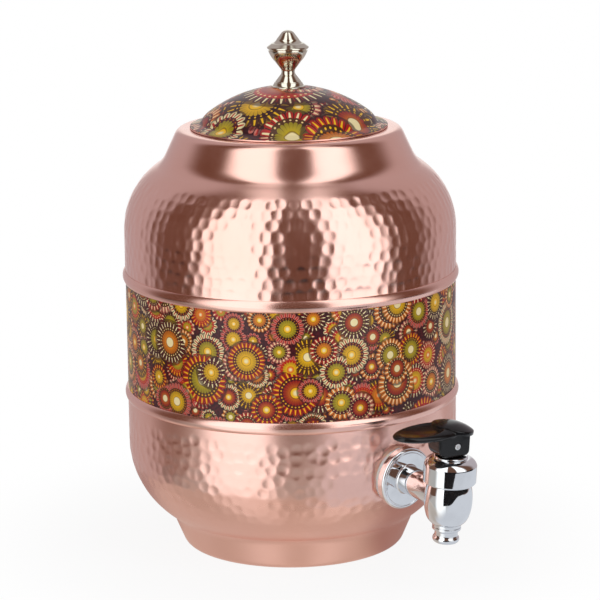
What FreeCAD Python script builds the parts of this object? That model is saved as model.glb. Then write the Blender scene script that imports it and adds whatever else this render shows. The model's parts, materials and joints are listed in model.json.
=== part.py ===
"""Copper water dispenser: a spun copper vessel with a printed band, a lift-off lid and a lever tap.

Origin: centre of the flat underside. +Z is up and the tap points towards -Y. Lengths in mm.
"""
import FreeCAD, Part
import math
import os
import Sketcher

doc = FreeCAD.newDocument("copper_water_dispenser")
sizes = doc.addObject("Spreadsheet::Sheet", "Sizes")
pieces = []


class Size:
    """A value known twice: as a number, and as the expression on the sheet that gives it."""

    def __init__(self, value, text):
        self.value = float(value)
        self.text = text

    def __add__(self, other):
        return Size(self.value + number(other), "(%s + %s)" % (self.text, text(other)))

    def __sub__(self, other):
        return Size(self.value - number(other), "(%s - %s)" % (self.text, text(other)))

    def __mul__(self, other):
        return Size(self.value * number(other), "(%s * %s)" % (self.text, text(other)))

    def __truediv__(self, other):
        return Size(self.value / number(other), "(%s / %s)" % (self.text, text(other)))

    def __neg__(self):
        return Size(-self.value, "(-%s)" % self.text)


def number(item):
    return item.value if isinstance(item, Size) else float(item)


def text(item):
    return item.text if isinstance(item, Size) else repr(float(item))


def root_of(item):
    return Size(math.sqrt(item.value), "sqrt(%s)" % item.text)


def sine(angle):
    return Size(math.sin(math.radians(angle.value)), "sin(%s)" % angle.text)


def cosine(angle):
    return Size(math.cos(math.radians(angle.value)), "cos(%s)" % angle.text)


def size(name, value):
    """Writes a driving size into the next row of the sheet and names its cell."""
    size.row += 1
    cell = "A%d" % size.row
    sizes.set(cell, repr(value))
    sizes.setAlias(cell, name)
    return Size(value, "Sizes." + name)


size.row = 0

# Copper sheet and the gaps between parts
sheet = size("sheet", 0.8)
fit_gap = size("fit_gap", 0.1)
seat_gap = size("seat_gap", 0.2)

# Belly: foot, crease, rounded bottom and lower wall
wall_radius = size("wall_radius", 100.2)
foot_radius = size("foot_radius", 66.6)
foot_round = size("foot_round", 3.0)
belly_round = size("belly_round", 54.0)
belly_level = size("belly_level", 65.4)
belly_angle = size("belly_angle", 58.0)
belly_crease_round = size("belly_crease_round", 2.0)

# Barrel, printed band and the two beads over the seams
lower_seam = size("lower_seam", 95.8)
upper_seam = size("upper_seam", 168.0)
lap = size("lap", 12.0)
band_thick = size("band_thick", 0.6)
bead_height = size("bead_height", 7.0)
bead_proud = size("bead_proud", 1.6)
bead_edge = size("bead_edge", 0.2)

# Shoulder, neck and mouth
shoulder_level = size("shoulder_level", 195.3)
shoulder_round = size("shoulder_round", 46.8)
shoulder_angle = size("shoulder_angle", 60.5)
neck_crease_round = size("neck_crease_round", 4.0)
rim_level = size("rim_level", 256.4)
rim_radius = size("rim_radius", 66.9)
rim_round = size("rim_round", 3.5)
mouth_radius = size("mouth_radius", 55.0)
mouth_lip = size("mouth_lip", 5.0)

# Lid: domed sheet with a narrow brim and a collar that drops into the mouth
dome_radius = size("dome_radius", 81.4)
dome_edge_radius = size("dome_edge_radius", 51.0)
dome_edge_level = size("dome_edge_level", 263.04)
dome_foot_radius = size("dome_foot_radius", 52.6)
dome_foot_level = size("dome_foot_level", 259.8)
dome_edge_round = size("dome_edge_round", 2.5)
brim_radius = size("brim_radius", 59.3)
brim_fall = size("brim_fall", 2.2)
brim_crease_round = size("brim_crease_round", 1.5)
collar_slack = size("collar_slack", 0.6)
collar_drop = size("collar_drop", 11.0)

# Finial: levels are heights above the top of the dome
finial_height = size("finial_height", 33.3)
finial_base_radius = size("finial_base_radius", 10.2)
finial_base_sink = size("finial_base_sink", 0.2)
finial_base_edge = size("finial_base_edge", 0.5)
finial_base_inset = size("finial_base_inset", 0.9)
finial_bell_radius = size("finial_bell_radius", 8.2)
finial_bell_level = size("finial_bell_level", 2.3)
finial_bell_round = size("finial_bell_round", 9.0)
finial_step_depth = size("finial_step_depth", 0.5)
finial_step_height = size("finial_step_height", 0.4)
finial_neck_radius = size("finial_neck_radius", 4.0)
finial_neck_level = size("finial_neck_level", 8.5)
finial_neck_length = size("finial_neck_length", 4.2)
finial_neck_round = size("finial_neck_round", 3.0)
finial_cup_foot_radius = size("finial_cup_foot_radius", 8.0)
finial_cup_foot_level = size("finial_cup_foot_level", 14.7)
finial_cup_round = size("finial_cup_round", 16.9)
finial_cup_edge = size("finial_cup_edge", 0.6)
finial_groove_level = size("finial_groove_level", 21.4)
finial_groove_height = size("finial_groove_height", 0.9)
finial_groove_depth = size("finial_groove_depth", 0.8)
finial_rim_radius = size("finial_rim_radius", 12.5)
finial_rim_height = size("finial_rim_height", 1.4)
finial_rim_round = size("finial_rim_round", 0.8)
finial_cap_radius = size("finial_cap_radius", 9.6)
finial_cap_level = size("finial_cap_level", 25.5)
finial_cap_round = size("finial_cap_round", 5.0)
finial_peak_radius = size("finial_peak_radius", 6.5)
finial_peak_level = size("finial_peak_level", 28.1)
finial_point_radius = size("finial_point_radius", 3.5)
finial_point_drop = size("finial_point_drop", 1.3)
stud_radius = size("stud_radius", 2.4)
stud_hole_slack = size("stud_hole_slack", 0.2)
stud_bore_depth = size("stud_bore_depth", 9.0)
stud_tail = size("stud_tail", 2.0)
finial_washer_radius = size("finial_washer_radius", 6.0)
finial_washer_thick = size("finial_washer_thick", 1.0)
finial_nut_radius = size("finial_nut_radius", 4.6)
finial_nut_height = size("finial_nut_height", 4.0)

# Tap, outside the wall: tilt, flange and shank
tap_tilt = size("tap_tilt", 5.0)
shank_reach = size("shank_reach", 43.0)
shank_radius = size("shank_radius", 8.3)
water_bore = size("water_bore", 5.0)
flange_radius = size("flange_radius", 18.6)
flange_thick = size("flange_thick", 5.0)
flange_round = size("flange_round", 1.6)
flange_groove_radius = size("flange_groove_radius", 16.8)
flange_groove_width = size("flange_groove_width", 0.8)
flange_groove_depth = size("flange_groove_depth", 0.5)
outer_washer_thick = size("outer_washer_thick", 2.0)

# Tap, inside the wall: threaded tail, washer and nut
tail_radius = size("tail_radius", 8.0)
tail_length = size("tail_length", 18.0)
tap_hole_slack = size("tap_hole_slack", 0.2)
inner_washer_radius = size("inner_washer_radius", 14.0)
inner_washer_thick = size("inner_washer_thick", 3.0)
tail_nut_radius = size("tail_nut_radius", 13.9)
tail_nut_height = size("tail_nut_height", 6.0)

# Valve cup: heights are above the shank's centre line
cup_neck_top = size("cup_neck_top", 16.0)
cup_neck_radius = size("cup_neck_radius", 13.2)
cup_neck_foot = size("cup_neck_foot", 9.6)
bulb_radius = size("bulb_radius", 13.7)
bulb_level = size("bulb_level", 1.0)
bulb_haunch_radius = size("bulb_haunch_radius", 12.7)
bulb_haunch_level = size("bulb_haunch_level", -9.4)
bulb_side_round = size("bulb_side_round", 54.6)
bulb_foot_radius = size("bulb_foot_radius", 8.8)
bulb_foot_level = size("bulb_foot_level", -15.2)
bulb_foot_round = size("bulb_foot_round", 9.2)
cavity_radius = size("cavity_radius", 9.6)
cavity_floor = size("cavity_floor", -9.0)
seat_level = size("seat_level", -7.5)
seat_radius = size("seat_radius", 6.0)
outlet_bore = size("outlet_bore", 4.5)

# Spout tip, screwed into the underside of the bulb
spout_thread_radius = size("spout_thread_radius", 6.0)
spout_thread_length = size("spout_thread_length", 4.0)
spout_ring_radius = size("spout_ring_radius", 8.4)
spout_ring_height = size("spout_ring_height", 1.6)
spout_groove_depth = size("spout_groove_depth", 0.6)
spout_groove_height = size("spout_groove_height", 0.5)
spout_neck_radius = size("spout_neck_radius", 6.75)
spout_ring_edge = size("spout_ring_edge", 0.4)
spout_ring_fall = size("spout_ring_fall", 0.8)
spout_ring_round = size("spout_ring_round", 1.4)
spout_lip_radius = size("spout_lip_radius", 7.8)
spout_lip_height = size("spout_lip_height", 2.0)
spout_lip_inset = size("spout_lip_inset", 0.8)
spout_lip_round = size("spout_lip_round", 2.2)
spout_flare_height = size("spout_flare_height", 1.2)
spout_flare_inset = size("spout_flare_inset", 0.5)
spout_end_level = size("spout_end_level", -26.5)

# Bonnet nut, its gasket and the gland parts held under its roof
bonnet_radius = size("bonnet_radius", 15.4)
bonnet_foot = size("bonnet_foot", 9.9)
bonnet_bevel = size("bonnet_bevel", 0.8)
bonnet_shoulder = size("bonnet_shoulder", 20.8)
bonnet_shoulder_round = size("bonnet_shoulder_round", 6.0)
bonnet_collar_radius = size("bonnet_collar_radius", 9.8)
bonnet_collar_foot = size("bonnet_collar_foot", 25.0)
bonnet_collar_bevel = size("bonnet_collar_bevel", 0.4)
bonnet_top = size("bonnet_top", 26.5)
bonnet_roof = size("bonnet_roof", 4.0)
thread_gap = size("thread_gap", 0.05)
gasket_thick = size("gasket_thick", 1.0)
oring_wire = size("oring_wire", 1.5)
gland_washer_radius = size("gland_washer_radius", 7.4)
gland_washer_thick = size("gland_washer_thick", 0.8)

# Stem, seal and spring
stem_radius = size("stem_radius", 3.5)
running_gap = size("running_gap", 0.05)
stem_flange_radius = size("stem_flange_radius", 7.0)
stem_flange_foot = size("stem_flange_foot", 2.0)
stem_flange_thick = size("stem_flange_thick", 1.5)
stem_post_radius = size("stem_post_radius", 3.0)
stem_post_length = size("stem_post_length", 6.0)
seal_radius = size("seal_radius", 7.0)
seal_edge = size("seal_edge", 0.6)
seal_cone_depth = size("seal_cone_depth", 1.0)
seal_lip_height = size("seal_lip_height", 3.0)
seal_waist_height = size("seal_waist_height", 4.0)
seal_waist_depth = size("seal_waist_depth", 1.4)
seal_top_height = size("seal_top_height", 0.8)
spring_wire = size("spring_wire", 0.9)
spring_radius = size("spring_radius", 5.5)
spring_turns = 8

# Lever: x runs along the handle, heights are above the shank's centre line
lever_angle = size("lever_angle", 174.3)
pin_level = size("pin_level", 32.9)
pin_radius = size("pin_radius", 2.0)
pin_gap = size("pin_gap", 0.06)
lever_width = size("lever_width", 12.3)
lever_back = size("lever_back", 7.2)
lever_front = size("lever_front", 12.8)
lever_lift_gap = size("lever_lift_gap", 0.25)
nose_round = size("nose_round", 6.8)
heel_round = size("heel_round", 3.0)
cheek_round = size("cheek_round", 1.0)
cap_radius = size("cap_radius", 12.3)
cap_level = size("cap_level", 43.0)
cap_tilt = size("cap_tilt", 13.0)
cap_drop = size("cap_drop", 1.7)
cap_rise = size("cap_rise", 1.9)
cap_crown = size("cap_crown", 2.0)
handle_reach = size("handle_reach", 40.8)
handle_root = size("handle_root", 10.2)
handle_half_width = size("handle_half_width", 12.0)
handle_half_thick = size("handle_half_thick", 3.9)
handle_level = size("handle_level", 42.3)
dish_start = size("dish_start", 8.0)
dish_overrun = size("dish_overrun", 2.0)
dish_half_width = size("dish_half_width", 12.6)
dish_depth = size("dish_depth", 3.0)
slot_width = size("slot_width", 7.4)
slot_back = size("slot_back", 5.3)
slot_front = size("slot_front", 6.7)
slot_top = size("slot_top", 38.3)
stem_over_pin = size("stem_over_pin", 3.6)

doc.recompute()

# Sizes that follow from the ones above
belly_centre = wall_radius - belly_round
barrel_radius = wall_radius - sheet - fit_gap
shoulder_centre = wall_radius - shoulder_round
dome_edge_rise = root_of(dome_radius * dome_radius - dome_edge_radius * dome_edge_radius)
dome_centre = dome_edge_level - dome_edge_rise
dome_top = dome_centre + dome_radius
brim_foot = rim_level + seat_gap
brim_top = dome_foot_level - brim_fall
flange_back = outer_washer_thick
flange_face = flange_back + flange_thick
tap_hole_radius = tail_radius + tap_hole_slack
bonnet_ceiling = bonnet_top - bonnet_roof
stem_bore = stem_radius + running_gap
gland_radius = stem_bore + oring_wire + running_gap
gland_top = bonnet_ceiling + oring_wire + fit_gap
stem_flange_top = stem_flange_foot + stem_flange_thick
spring_top = bonnet_ceiling - gland_washer_thick - fit_gap
lever_foot = bonnet_top + lever_lift_gap
tap_out = belly_centre + belly_round * cosine(tap_tilt)
tap_up = belly_level - belly_round * sine(tap_tilt)

# Working room left around cuts, so that no cutting face lies on a piece's own face
spare = 1.0

# Two places nearer than this are the same place
same_place = 1e-4


def place(x=0, y=0, z=0, axis="0; 0; 1", angle=0):
    where = "vector(%s; %s; %s)" % (text(x), text(y), text(z))
    return "placement(%s; rotation(vector(%s); %s))" % (where, axis, text(angle))


# Frames: the tap's origin is on the wall, its -Y points outward; the valve's Z is the stem's axis
tap_frame = place(0, -tap_out, tap_up, "1; 0; 0", tap_tilt)
valve_frame = tap_frame + " * " + place(0, -shank_reach, 0)
lever_frame = valve_frame + " * " + place(0, 0, 0, "0; 0; 1", lever_angle)
outward = place(0, 0, 0, "1; 0; 0", 90)


def bind(item, name, value):
    """Sets a property to a number, or ties it to the sheet."""
    if isinstance(value, Size):
        item.setExpression(name, value.text)
    else:
        setattr(item, name, value)


def put(item, frame):
    item.setExpression("Placement", frame)
    return item


def finish_piece(item, label, frame=None):
    """Names a finished piece and sets it in its place."""
    item.Label = label
    if frame:
        put(item, frame)
    pieces.append(item)
    return item


def cylinder(name, radius, height, frame=None):
    item = doc.addObject("Part::Cylinder", name)
    bind(item, "Radius", radius)
    bind(item, "Height", height)
    return put(item, frame) if frame else item


def box(name, length, width, height, frame):
    item = doc.addObject("Part::Box", name)
    bind(item, "Length", length)
    bind(item, "Width", width)
    bind(item, "Height", height)
    return put(item, frame)


def hexagon(name, radius, height):
    item = doc.addObject("Part::Prism", name)
    item.Polygon = 6
    bind(item, "Circumradius", radius)
    bind(item, "Height", height)
    return item


def ellipsoid(name, half_height, half_length, half_width, frame):
    item = doc.addObject("Part::Ellipsoid", name)
    bind(item, "Radius1", half_height)
    bind(item, "Radius2", half_length)
    bind(item, "Radius3", half_width)
    item.Angle1 = -90
    item.Angle2 = 90
    item.Angle3 = 360
    return put(item, frame)


def cut(name, base, tool):
    item = doc.addObject("Part::Cut", name)
    item.Base = base
    item.Tool = tool
    return item


def common(name, base, tool):
    item = doc.addObject("Part::Common", name)
    item.Base = base
    item.Tool = tool
    return item


def fuse(name, *shapes):
    item = doc.addObject("Part::MultiFuse", name)
    item.Shapes = list(shapes)
    return item


def origin_plane(body, role):
    return [plane for plane in body.Origin.OriginFeatures if plane.Role == role][0]


def bend(radius, left=True):
    """Marks an edge of an outline as an arc; its centre is on the left or right of the way it runs."""
    return (radius, left)


def draw_outline(sketch, outline):
    """Draws a closed outline. Each entry is a corner (across, up) or (across, up, bend to the next)."""
    count = len(outline)
    ends = []
    for index, entry in enumerate(outline):
        nearby = outline[(index + 1) % count]
        start = FreeCAD.Vector(number(entry[0]), number(entry[1]), 0)
        stop = FreeCAD.Vector(number(nearby[0]), number(nearby[1]), 0)
        if len(entry) == 2:
            sketch.addGeometry(Part.LineSegment(start, stop), False)
            ends.append((1, 2))
            continue
        radius, left = entry[2]
        sketch.addGeometry(arc_edge(start, stop, number(radius), left), False)
        ends.append((1, 2) if left else (2, 1))
    for index, entry in enumerate(outline):
        following = (index + 1) % count
        begin = ends[index][0]
        meeting = (index, ends[index][1], following, ends[following][0])
        sketch.addConstraint(Sketcher.Constraint("Coincident", *meeting))
        fix_corner(sketch, "DistanceX", index, begin, entry[0], -2)
        fix_corner(sketch, "DistanceY", index, begin, entry[1], -1)
        if len(entry) == 3:
            radius = entry[2][0]
            row = sketch.addConstraint(Sketcher.Constraint("Radius", index, number(radius)))
            tie_row(sketch, row, radius)


def arc_edge(start, stop, radius, left):
    chord = stop - start
    middle = (start + stop) * 0.5
    rise = math.sqrt(radius ** 2 - (chord.Length / 2) ** 2)
    side = FreeCAD.Vector(-chord.y, chord.x, 0).normalize()
    centre = middle + side * (rise if left else -rise)
    first, last = (start, stop) if left else (stop, start)
    begin = math.atan2(first.y - centre.y, first.x - centre.x)
    end = math.atan2(last.y - centre.y, last.x - centre.x)
    if end < begin:
        end += 2 * math.pi
    return Part.ArcOfCircle(Part.Circle(centre, FreeCAD.Vector(0, 0, 1), radius), begin, end)


def fix_corner(sketch, kind, index, point, value, axis):
    """Holds a corner at a distance from the sketch's origin, or on its axis where that is zero."""
    if not isinstance(value, Size) and value == 0:
        sketch.addConstraint(Sketcher.Constraint("PointOnObject", index, point, axis))
        return
    row = sketch.addConstraint(Sketcher.Constraint(kind, -1, 1, index, point, number(value)))
    tie_row(sketch, row, value)


def tie_row(sketch, row, value):
    if isinstance(value, Size):
        sketch.setExpression("Constraints[%d]" % row, value.text)


def new_sketch(body, name, role, outline):
    sketch = body.newObject("Sketcher::SketchObject", name)
    sketch.AttachmentSupport = (origin_plane(body, role), [""])
    sketch.MapMode = "FlatFace"
    draw_outline(sketch, outline)
    return sketch


def turned(name, outline):
    """A body of revolution about Z, from an outline in radius and height."""
    body = doc.addObject("PartDesign::Body", name)
    turn = body.newObject("PartDesign::Revolution", name + "_turn")
    turn.Profile = new_sketch(body, name + "_outline", "XZ_Plane", outline)
    turn.ReferenceAxis = (turn.Profile[0], ["V_Axis"])
    turn.Angle = 360
    return body


def ring_edges(shape, radius, level):
    """Names of the round edges of a turned shape that lie at a radius and a level."""
    names = []
    for index, edge in enumerate(shape.Edges):
        if edge.Degenerated or not isinstance(edge.Curve, Part.Circle):
            continue
        near = abs(edge.Curve.Radius - number(radius)) + abs(edge.Curve.Center.z - number(level))
        if near < same_place:
            names.append("Edge%d" % (index + 1))
    return names


def round_rings(body, radius, *rings):
    """Rounds the ring-shaped edges at the given (radius, level) places."""
    doc.recompute()
    base = body.Tip
    names = []
    for ring in rings:
        names += ring_edges(base.Shape, ring[0], ring[1])
    fillet = body.newObject("PartDesign::Fillet", body.Name + "_round")
    fillet.Base = (base, names)
    bind(fillet, "Radius", radius)
    doc.recompute()
    return body


def hollow(body, level, thickness, hole=None):
    """Shells a turned body inwards, open at the flat face of the given level and at a centre hole."""
    doc.recompute()
    base = body.Tip
    opened = []
    for index, face in enumerate(base.Shape.Faces):
        surface = face.Surface
        flat = isinstance(surface, Part.Plane) and abs(face.CenterOfMass.z - number(level)) < same_place
        bored = hole and isinstance(surface, Part.Cylinder) and abs(surface.Radius - hole.value) < same_place
        if flat or bored:
            opened.append("Face%d" % (index + 1))
    shell = body.newObject("PartDesign::Thickness", body.Name + "_wall")
    shell.Base = (base, opened)
    bind(shell, "Value", thickness)
    shell.Reversed = True
    shell.Mode = 0
    shell.Join = 0
    doc.recompute()
    return body


def tube(name, inner, outer, foot, top):
    return turned(name, [(inner, foot), (outer, foot), (outer, top), (inner, top)])


# Vessel

def belly_form(name):
    """The belly as a filled shape: foot, crease, rounded bottom and lower wall."""
    crease_radius = belly_centre + belly_round * cosine(belly_angle)
    crease_level = belly_level - belly_round * sine(belly_angle)
    outline = [
        (0, 0),
        (foot_radius, 0),
        (crease_radius, crease_level, bend(belly_round)),
        (wall_radius, belly_level),
        (wall_radius, lower_seam),
        (0, lower_seam),
    ]
    body = turned(name, outline)
    round_rings(body, belly_crease_round, (crease_radius, crease_level))
    return round_rings(body, foot_round, (foot_radius, 0))


def make_belly(filled):
    whole = hollow(belly_form("belly_sheet"), lower_seam, sheet)
    length = tail_length
    inside_tap = tap_frame + " * " + place(0, length, 0, "1; 0; 0", 90)
    hole = cylinder("tap_hole", tap_hole_radius, length * 2, inside_tap)
    finish_piece(cut("belly_cut", whole, hole), "belly_shell")
    make_wall_washers(filled, whole)


def make_wall_washers(filled, whole):
    """Soft washers that follow the rounded wall on one face and are flat on the other."""
    bore_radius = tap_hole_radius + fit_gap
    inside_tap = tap_frame + " * " + place(0, tail_length, 0, "1; 0; 0", 90)
    bore = cylinder("washer_bore", bore_radius, tail_length * 2, inside_tap)
    blank_depth = tail_length / 2
    outer_start = -outer_washer_thick
    outer = cylinder("outer_washer_blank", flange_radius - flange_round, blank_depth,
                     tap_frame + " * " + place(0, outer_start, 0, "1; 0; 0", -90))
    fitted = cut("outer_washer_fitted", outer, filled)
    finish_piece(cut("outer_washer_cut", fitted, bore), "outer_washer")
    inner_face = sheet + inner_washer_thick
    inner = cylinder("inner_washer_blank", inner_washer_radius, inner_face + spare,
                     tap_frame + " * " + place(0, inner_face, 0, "1; 0; 0", 90))
    inside = common("inner_washer_inside", inner, filled)
    seated = cut("inner_washer_seated", inside, whole)
    finish_piece(cut("inner_washer_cut", seated, bore), "inner_washer")


def make_shoulder():
    """Upper wall, shoulder, neck and the rim with its turned-down lip."""
    crease_radius = shoulder_centre + shoulder_round * cosine(shoulder_angle)
    crease_level = shoulder_level + shoulder_round * sine(shoulder_angle)
    outline = [
        (0, upper_seam),
        (wall_radius, upper_seam),
        (wall_radius, shoulder_level, bend(shoulder_round)),
        (crease_radius, crease_level),
        (rim_radius, rim_level),
        (0, rim_level),
    ]
    body = turned("shoulder_sheet", outline)
    round_rings(body, neck_crease_round, (crease_radius, crease_level))
    round_rings(body, rim_round, (rim_radius, rim_level))
    hollow(body, upper_seam, sheet)
    mouth = cylinder("mouth", mouth_radius, rim_level)
    opened = cut("shoulder_opened", body, mouth)
    lip = tube("mouth_lip_ring", mouth_radius, mouth_radius + sheet, rim_level - mouth_lip, rim_level)
    finish_piece(fuse("shoulder_fused", opened, lip), "shoulder_shell")


def make_barrel():
    inner = barrel_radius - sheet
    finish_piece(tube("barrel", inner, barrel_radius, lower_seam - lap, upper_seam + lap), "barrel_shell")
    foot = lower_seam + bead_height / 2 + fit_gap
    top = upper_seam - bead_height / 2 - fit_gap
    band_inner = barrel_radius + fit_gap
    finish_piece(tube("band", band_inner, band_inner + band_thick, foot, top), "printed_band")


def make_bead(label, seam, shell_side):
    """A half-round hoop over a seam, stepped inside where it passes from the shell to the barrel."""
    half = bead_height / 2 * shell_side
    edge = wall_radius + bead_edge
    rise = bead_proud - bead_edge
    bead_round = (bead_height / 2 * (bead_height / 2) + rise * rise) / (rise * 2)
    step = seam - fit_gap * shell_side
    on_shell = wall_radius + fit_gap / 2
    on_barrel = barrel_radius + fit_gap / 2
    outline = [
        (edge, seam - half, bend(bead_round, shell_side > 0)),
        (edge, seam + half),
        (on_shell, seam + half),
        (on_shell, step),
        (on_barrel, step),
        (on_barrel, seam - half),
    ]
    finish_piece(turned(label + "_hoop", outline), label)


# Lid and finial

def dome_form(name, radius, foot):
    """A filled ball cap of the dome's centre, down to a level."""
    edge = root_of(radius * radius - (foot - dome_centre) * (foot - dome_centre))
    outline = [
        (0, foot),
        (edge, foot, bend(radius)),
        (0, dome_centre + radius),
    ]
    return turned(name, outline)


def make_lid():
    hole = stud_radius + stud_hole_slack
    outline = [
        (hole, brim_foot),
        (brim_radius, brim_foot),
        (brim_radius, brim_top),
        (dome_foot_radius, dome_foot_level),
        (dome_edge_radius, dome_edge_level, bend(dome_radius)),
        (hole, dome_centre + root_of(dome_radius * dome_radius - hole * hole)),
    ]
    body = turned("lid_sheet", outline)
    round_rings(body, dome_edge_round, (dome_edge_radius, dome_edge_level))
    round_rings(body, brim_crease_round, (dome_foot_radius, dome_foot_level))
    lid = finish_piece(hollow(body, brim_foot, sheet, hole), "lid_dome")
    slope = (dome_foot_level - brim_top) / (brim_radius - dome_foot_radius)
    make_collar(slope)
    return lid


def make_collar(slope):
    """Ring under the brim that drops into the mouth; its top edge follows the brim's slope."""
    outer = mouth_radius - collar_slack
    inner = outer - sheet
    below = dome_foot_level - sheet * root_of(slope * slope + 1) - fit_gap / 2
    foot = rim_level - collar_drop
    outline = [
        (inner, foot),
        (outer, foot),
        (outer, below - (outer - dome_foot_radius) * slope),
        (inner, below - (inner - dome_foot_radius) * slope),
    ]
    finish_piece(turned("collar", outline), "lid_collar")


def arc_rise(radius, chord):
    """How far an arc stands out from its chord."""
    half = chord / 2
    return radius - root_of(radius * radius - half * half)


def make_finial():
    """Turned knob: pointed cap with a thin rim, groove, cup, narrow neck and bell-shaped base."""
    neck_end = finial_neck_radius + arc_rise(finial_neck_round, finial_neck_length)
    neck_foot = dome_top + finial_neck_level - finial_neck_length / 2
    base_level = dome_top - finial_base_sink
    base_top_radius = finial_base_radius - finial_base_inset
    bell_level = dome_top + finial_bell_level
    step_radius = finial_bell_radius - finial_step_depth
    groove_level = dome_top + finial_groove_level
    cup_edge_radius = finial_rim_radius - finial_cup_edge
    groove_radius = cup_edge_radius - finial_groove_depth
    rim_edge = finial_rim_radius - arc_rise(finial_rim_round, finial_rim_height)
    rim_foot = groove_level + finial_groove_height
    tip = dome_top + finial_height
    point_square = finial_point_radius * finial_point_radius + finial_point_drop * finial_point_drop
    point_round = point_square / (finial_point_drop * 2)
    outline = [
        (0, dome_top - spare * 2),
        (finial_base_radius, dome_top - spare * 2),
        (finial_base_radius, base_level, bend(finial_base_inset + finial_base_sink / 2)),
        (base_top_radius, base_level + finial_base_edge, bend(finial_bell_round, False)),
        (finial_bell_radius, bell_level),
        (step_radius, bell_level),
        (step_radius, bell_level + finial_step_height),
        (neck_end, neck_foot, bend(finial_neck_round, False)),
        (neck_end, neck_foot + finial_neck_length),
        (finial_cup_foot_radius, dome_top + finial_cup_foot_level, bend(finial_cup_round)),
        (cup_edge_radius, groove_level),
        (groove_radius, groove_level),
        (groove_radius, rim_foot),
        (rim_edge, rim_foot, bend(finial_rim_round)),
        (rim_edge, rim_foot + finial_rim_height),
        (finial_cap_radius, dome_top + finial_cap_level, bend(finial_cap_round, False)),
        (finial_peak_radius, dome_top + finial_peak_level),
        (finial_point_radius, tip - finial_point_drop, bend(point_round)),
        (0, tip),
    ]
    turned_knob = turned("finial_knob", outline)
    seat = dome_form("dome_under_finial", dome_radius + fit_gap / 2, brim_top)
    seated = cut("finial_seated", turned_knob, seat)
    bore_foot = dome_top - spare * 2
    bore = cylinder("finial_bore", stud_radius + fit_gap, stud_bore_depth + spare * 2, place(0, 0, bore_foot))
    finish_piece(cut("finial_cut", seated, bore), "finial")


def make_finial_fixing():
    """Stud, washer and nut that hold the finial from inside the lid."""
    inner = dome_radius - sheet
    reach = finial_washer_radius * finial_washer_radius
    washer_top = dome_centre + root_of(inner * inner - reach) - fit_gap
    washer_foot = washer_top - finial_washer_thick
    nut_top = washer_foot - fit_gap / 2
    nut_foot = nut_top - finial_nut_height
    stud_foot = nut_foot - stud_tail
    stud_top = dome_top + stud_bore_depth - fit_gap
    bore = stud_radius + fit_gap
    stud = cylinder("stud", stud_radius, stud_top - stud_foot, place(0, 0, stud_foot))
    finish_piece(stud, "finial_stud")
    finish_piece(tube("stud_washer", bore, finial_washer_radius, washer_foot, washer_top), "finial_washer")
    nut = hexagon("stud_nut", finial_nut_radius, finial_nut_height)
    hole = cylinder("stud_nut_hole", bore, finial_nut_height * 3, place(0, 0, -finial_nut_height))
    finish_piece(cut("stud_nut_cut", nut, hole), "finial_nut", place(0, 0, nut_foot))


# Tap

def shank_form():
    """Threaded tail, flange and shank as one turned shape; up is outward from the wall."""
    face_dip = flange_face - flange_groove_depth
    groove_end = flange_groove_radius - flange_groove_width
    outline = [
        (0, -tail_length),
        (tail_radius, -tail_length),
        (tail_radius, flange_back),
        (flange_radius, flange_back),
        (flange_radius, flange_face - flange_round, bend(flange_round)),
        (flange_radius - flange_round, flange_face),
        (flange_groove_radius, flange_face),
        (flange_groove_radius, face_dip),
        (groove_end, face_dip),
        (groove_end, flange_face),
        (shank_radius, flange_face),
        (shank_radius, shank_reach),
        (0, shank_reach),
    ]
    return put(turned("shank", outline), outward)


def cup_form():
    """Outside of the valve cup: rounded bulb below, threaded neck above."""
    outline = [
        (0, bulb_foot_level),
        (bulb_foot_radius, bulb_foot_level, bend(bulb_foot_round)),
        (bulb_haunch_radius, bulb_haunch_level, bend(bulb_side_round)),
        (bulb_radius, bulb_level),
        (bulb_radius, cup_neck_foot),
        (cup_neck_radius, cup_neck_foot),
        (cup_neck_radius, cup_neck_top),
        (0, cup_neck_top),
    ]
    return put(turned("cup", outline), place(0, -shank_reach, 0))


def cavity_form():
    """The room inside the cup: spout socket, outlet, raised seat and chamber."""
    socket = spout_thread_radius + thread_gap
    socket_top = bulb_foot_level + spout_thread_length + fit_gap
    outline = [
        (0, bulb_foot_level - spare),
        (socket, bulb_foot_level - spare),
        (socket, socket_top),
        (outlet_bore, socket_top),
        (outlet_bore, seat_level),
        (seat_radius, seat_level),
        (seat_radius, cavity_floor),
        (cavity_radius, cavity_floor),
        (cavity_radius, cup_neck_top + spare),
        (0, cup_neck_top + spare),
    ]
    return put(turned("cavity", outline), place(0, -shank_reach, 0))


def make_tap_body():
    solid = fuse("tap_solid", shank_form(), cup_form())
    chamber = cut("tap_chamber", solid, cavity_form())
    bore_length = tail_length + shank_reach - cavity_radius / 2
    tail_end = place(0, tail_length + spare, 0, "1; 0; 0", 90)
    bore = cylinder("tap_bore", water_bore, bore_length + spare, tail_end)
    finish_piece(cut("tap_bored", chamber, bore), "tap_body", tap_frame)


def make_tail_nut():
    face = sheet + inner_washer_thick + fit_gap
    nut = hexagon("nut_blank", tail_nut_radius, tail_nut_height)
    hole = cylinder("nut_hole", tail_radius + thread_gap, tail_nut_height * 3, place(0, 0, -tail_nut_height))
    seat = tap_frame + " * " + place(0, face, 0, "1; 0; 0", -90)
    finish_piece(cut("nut_cut", nut, hole), "tail_nut", seat)


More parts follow.
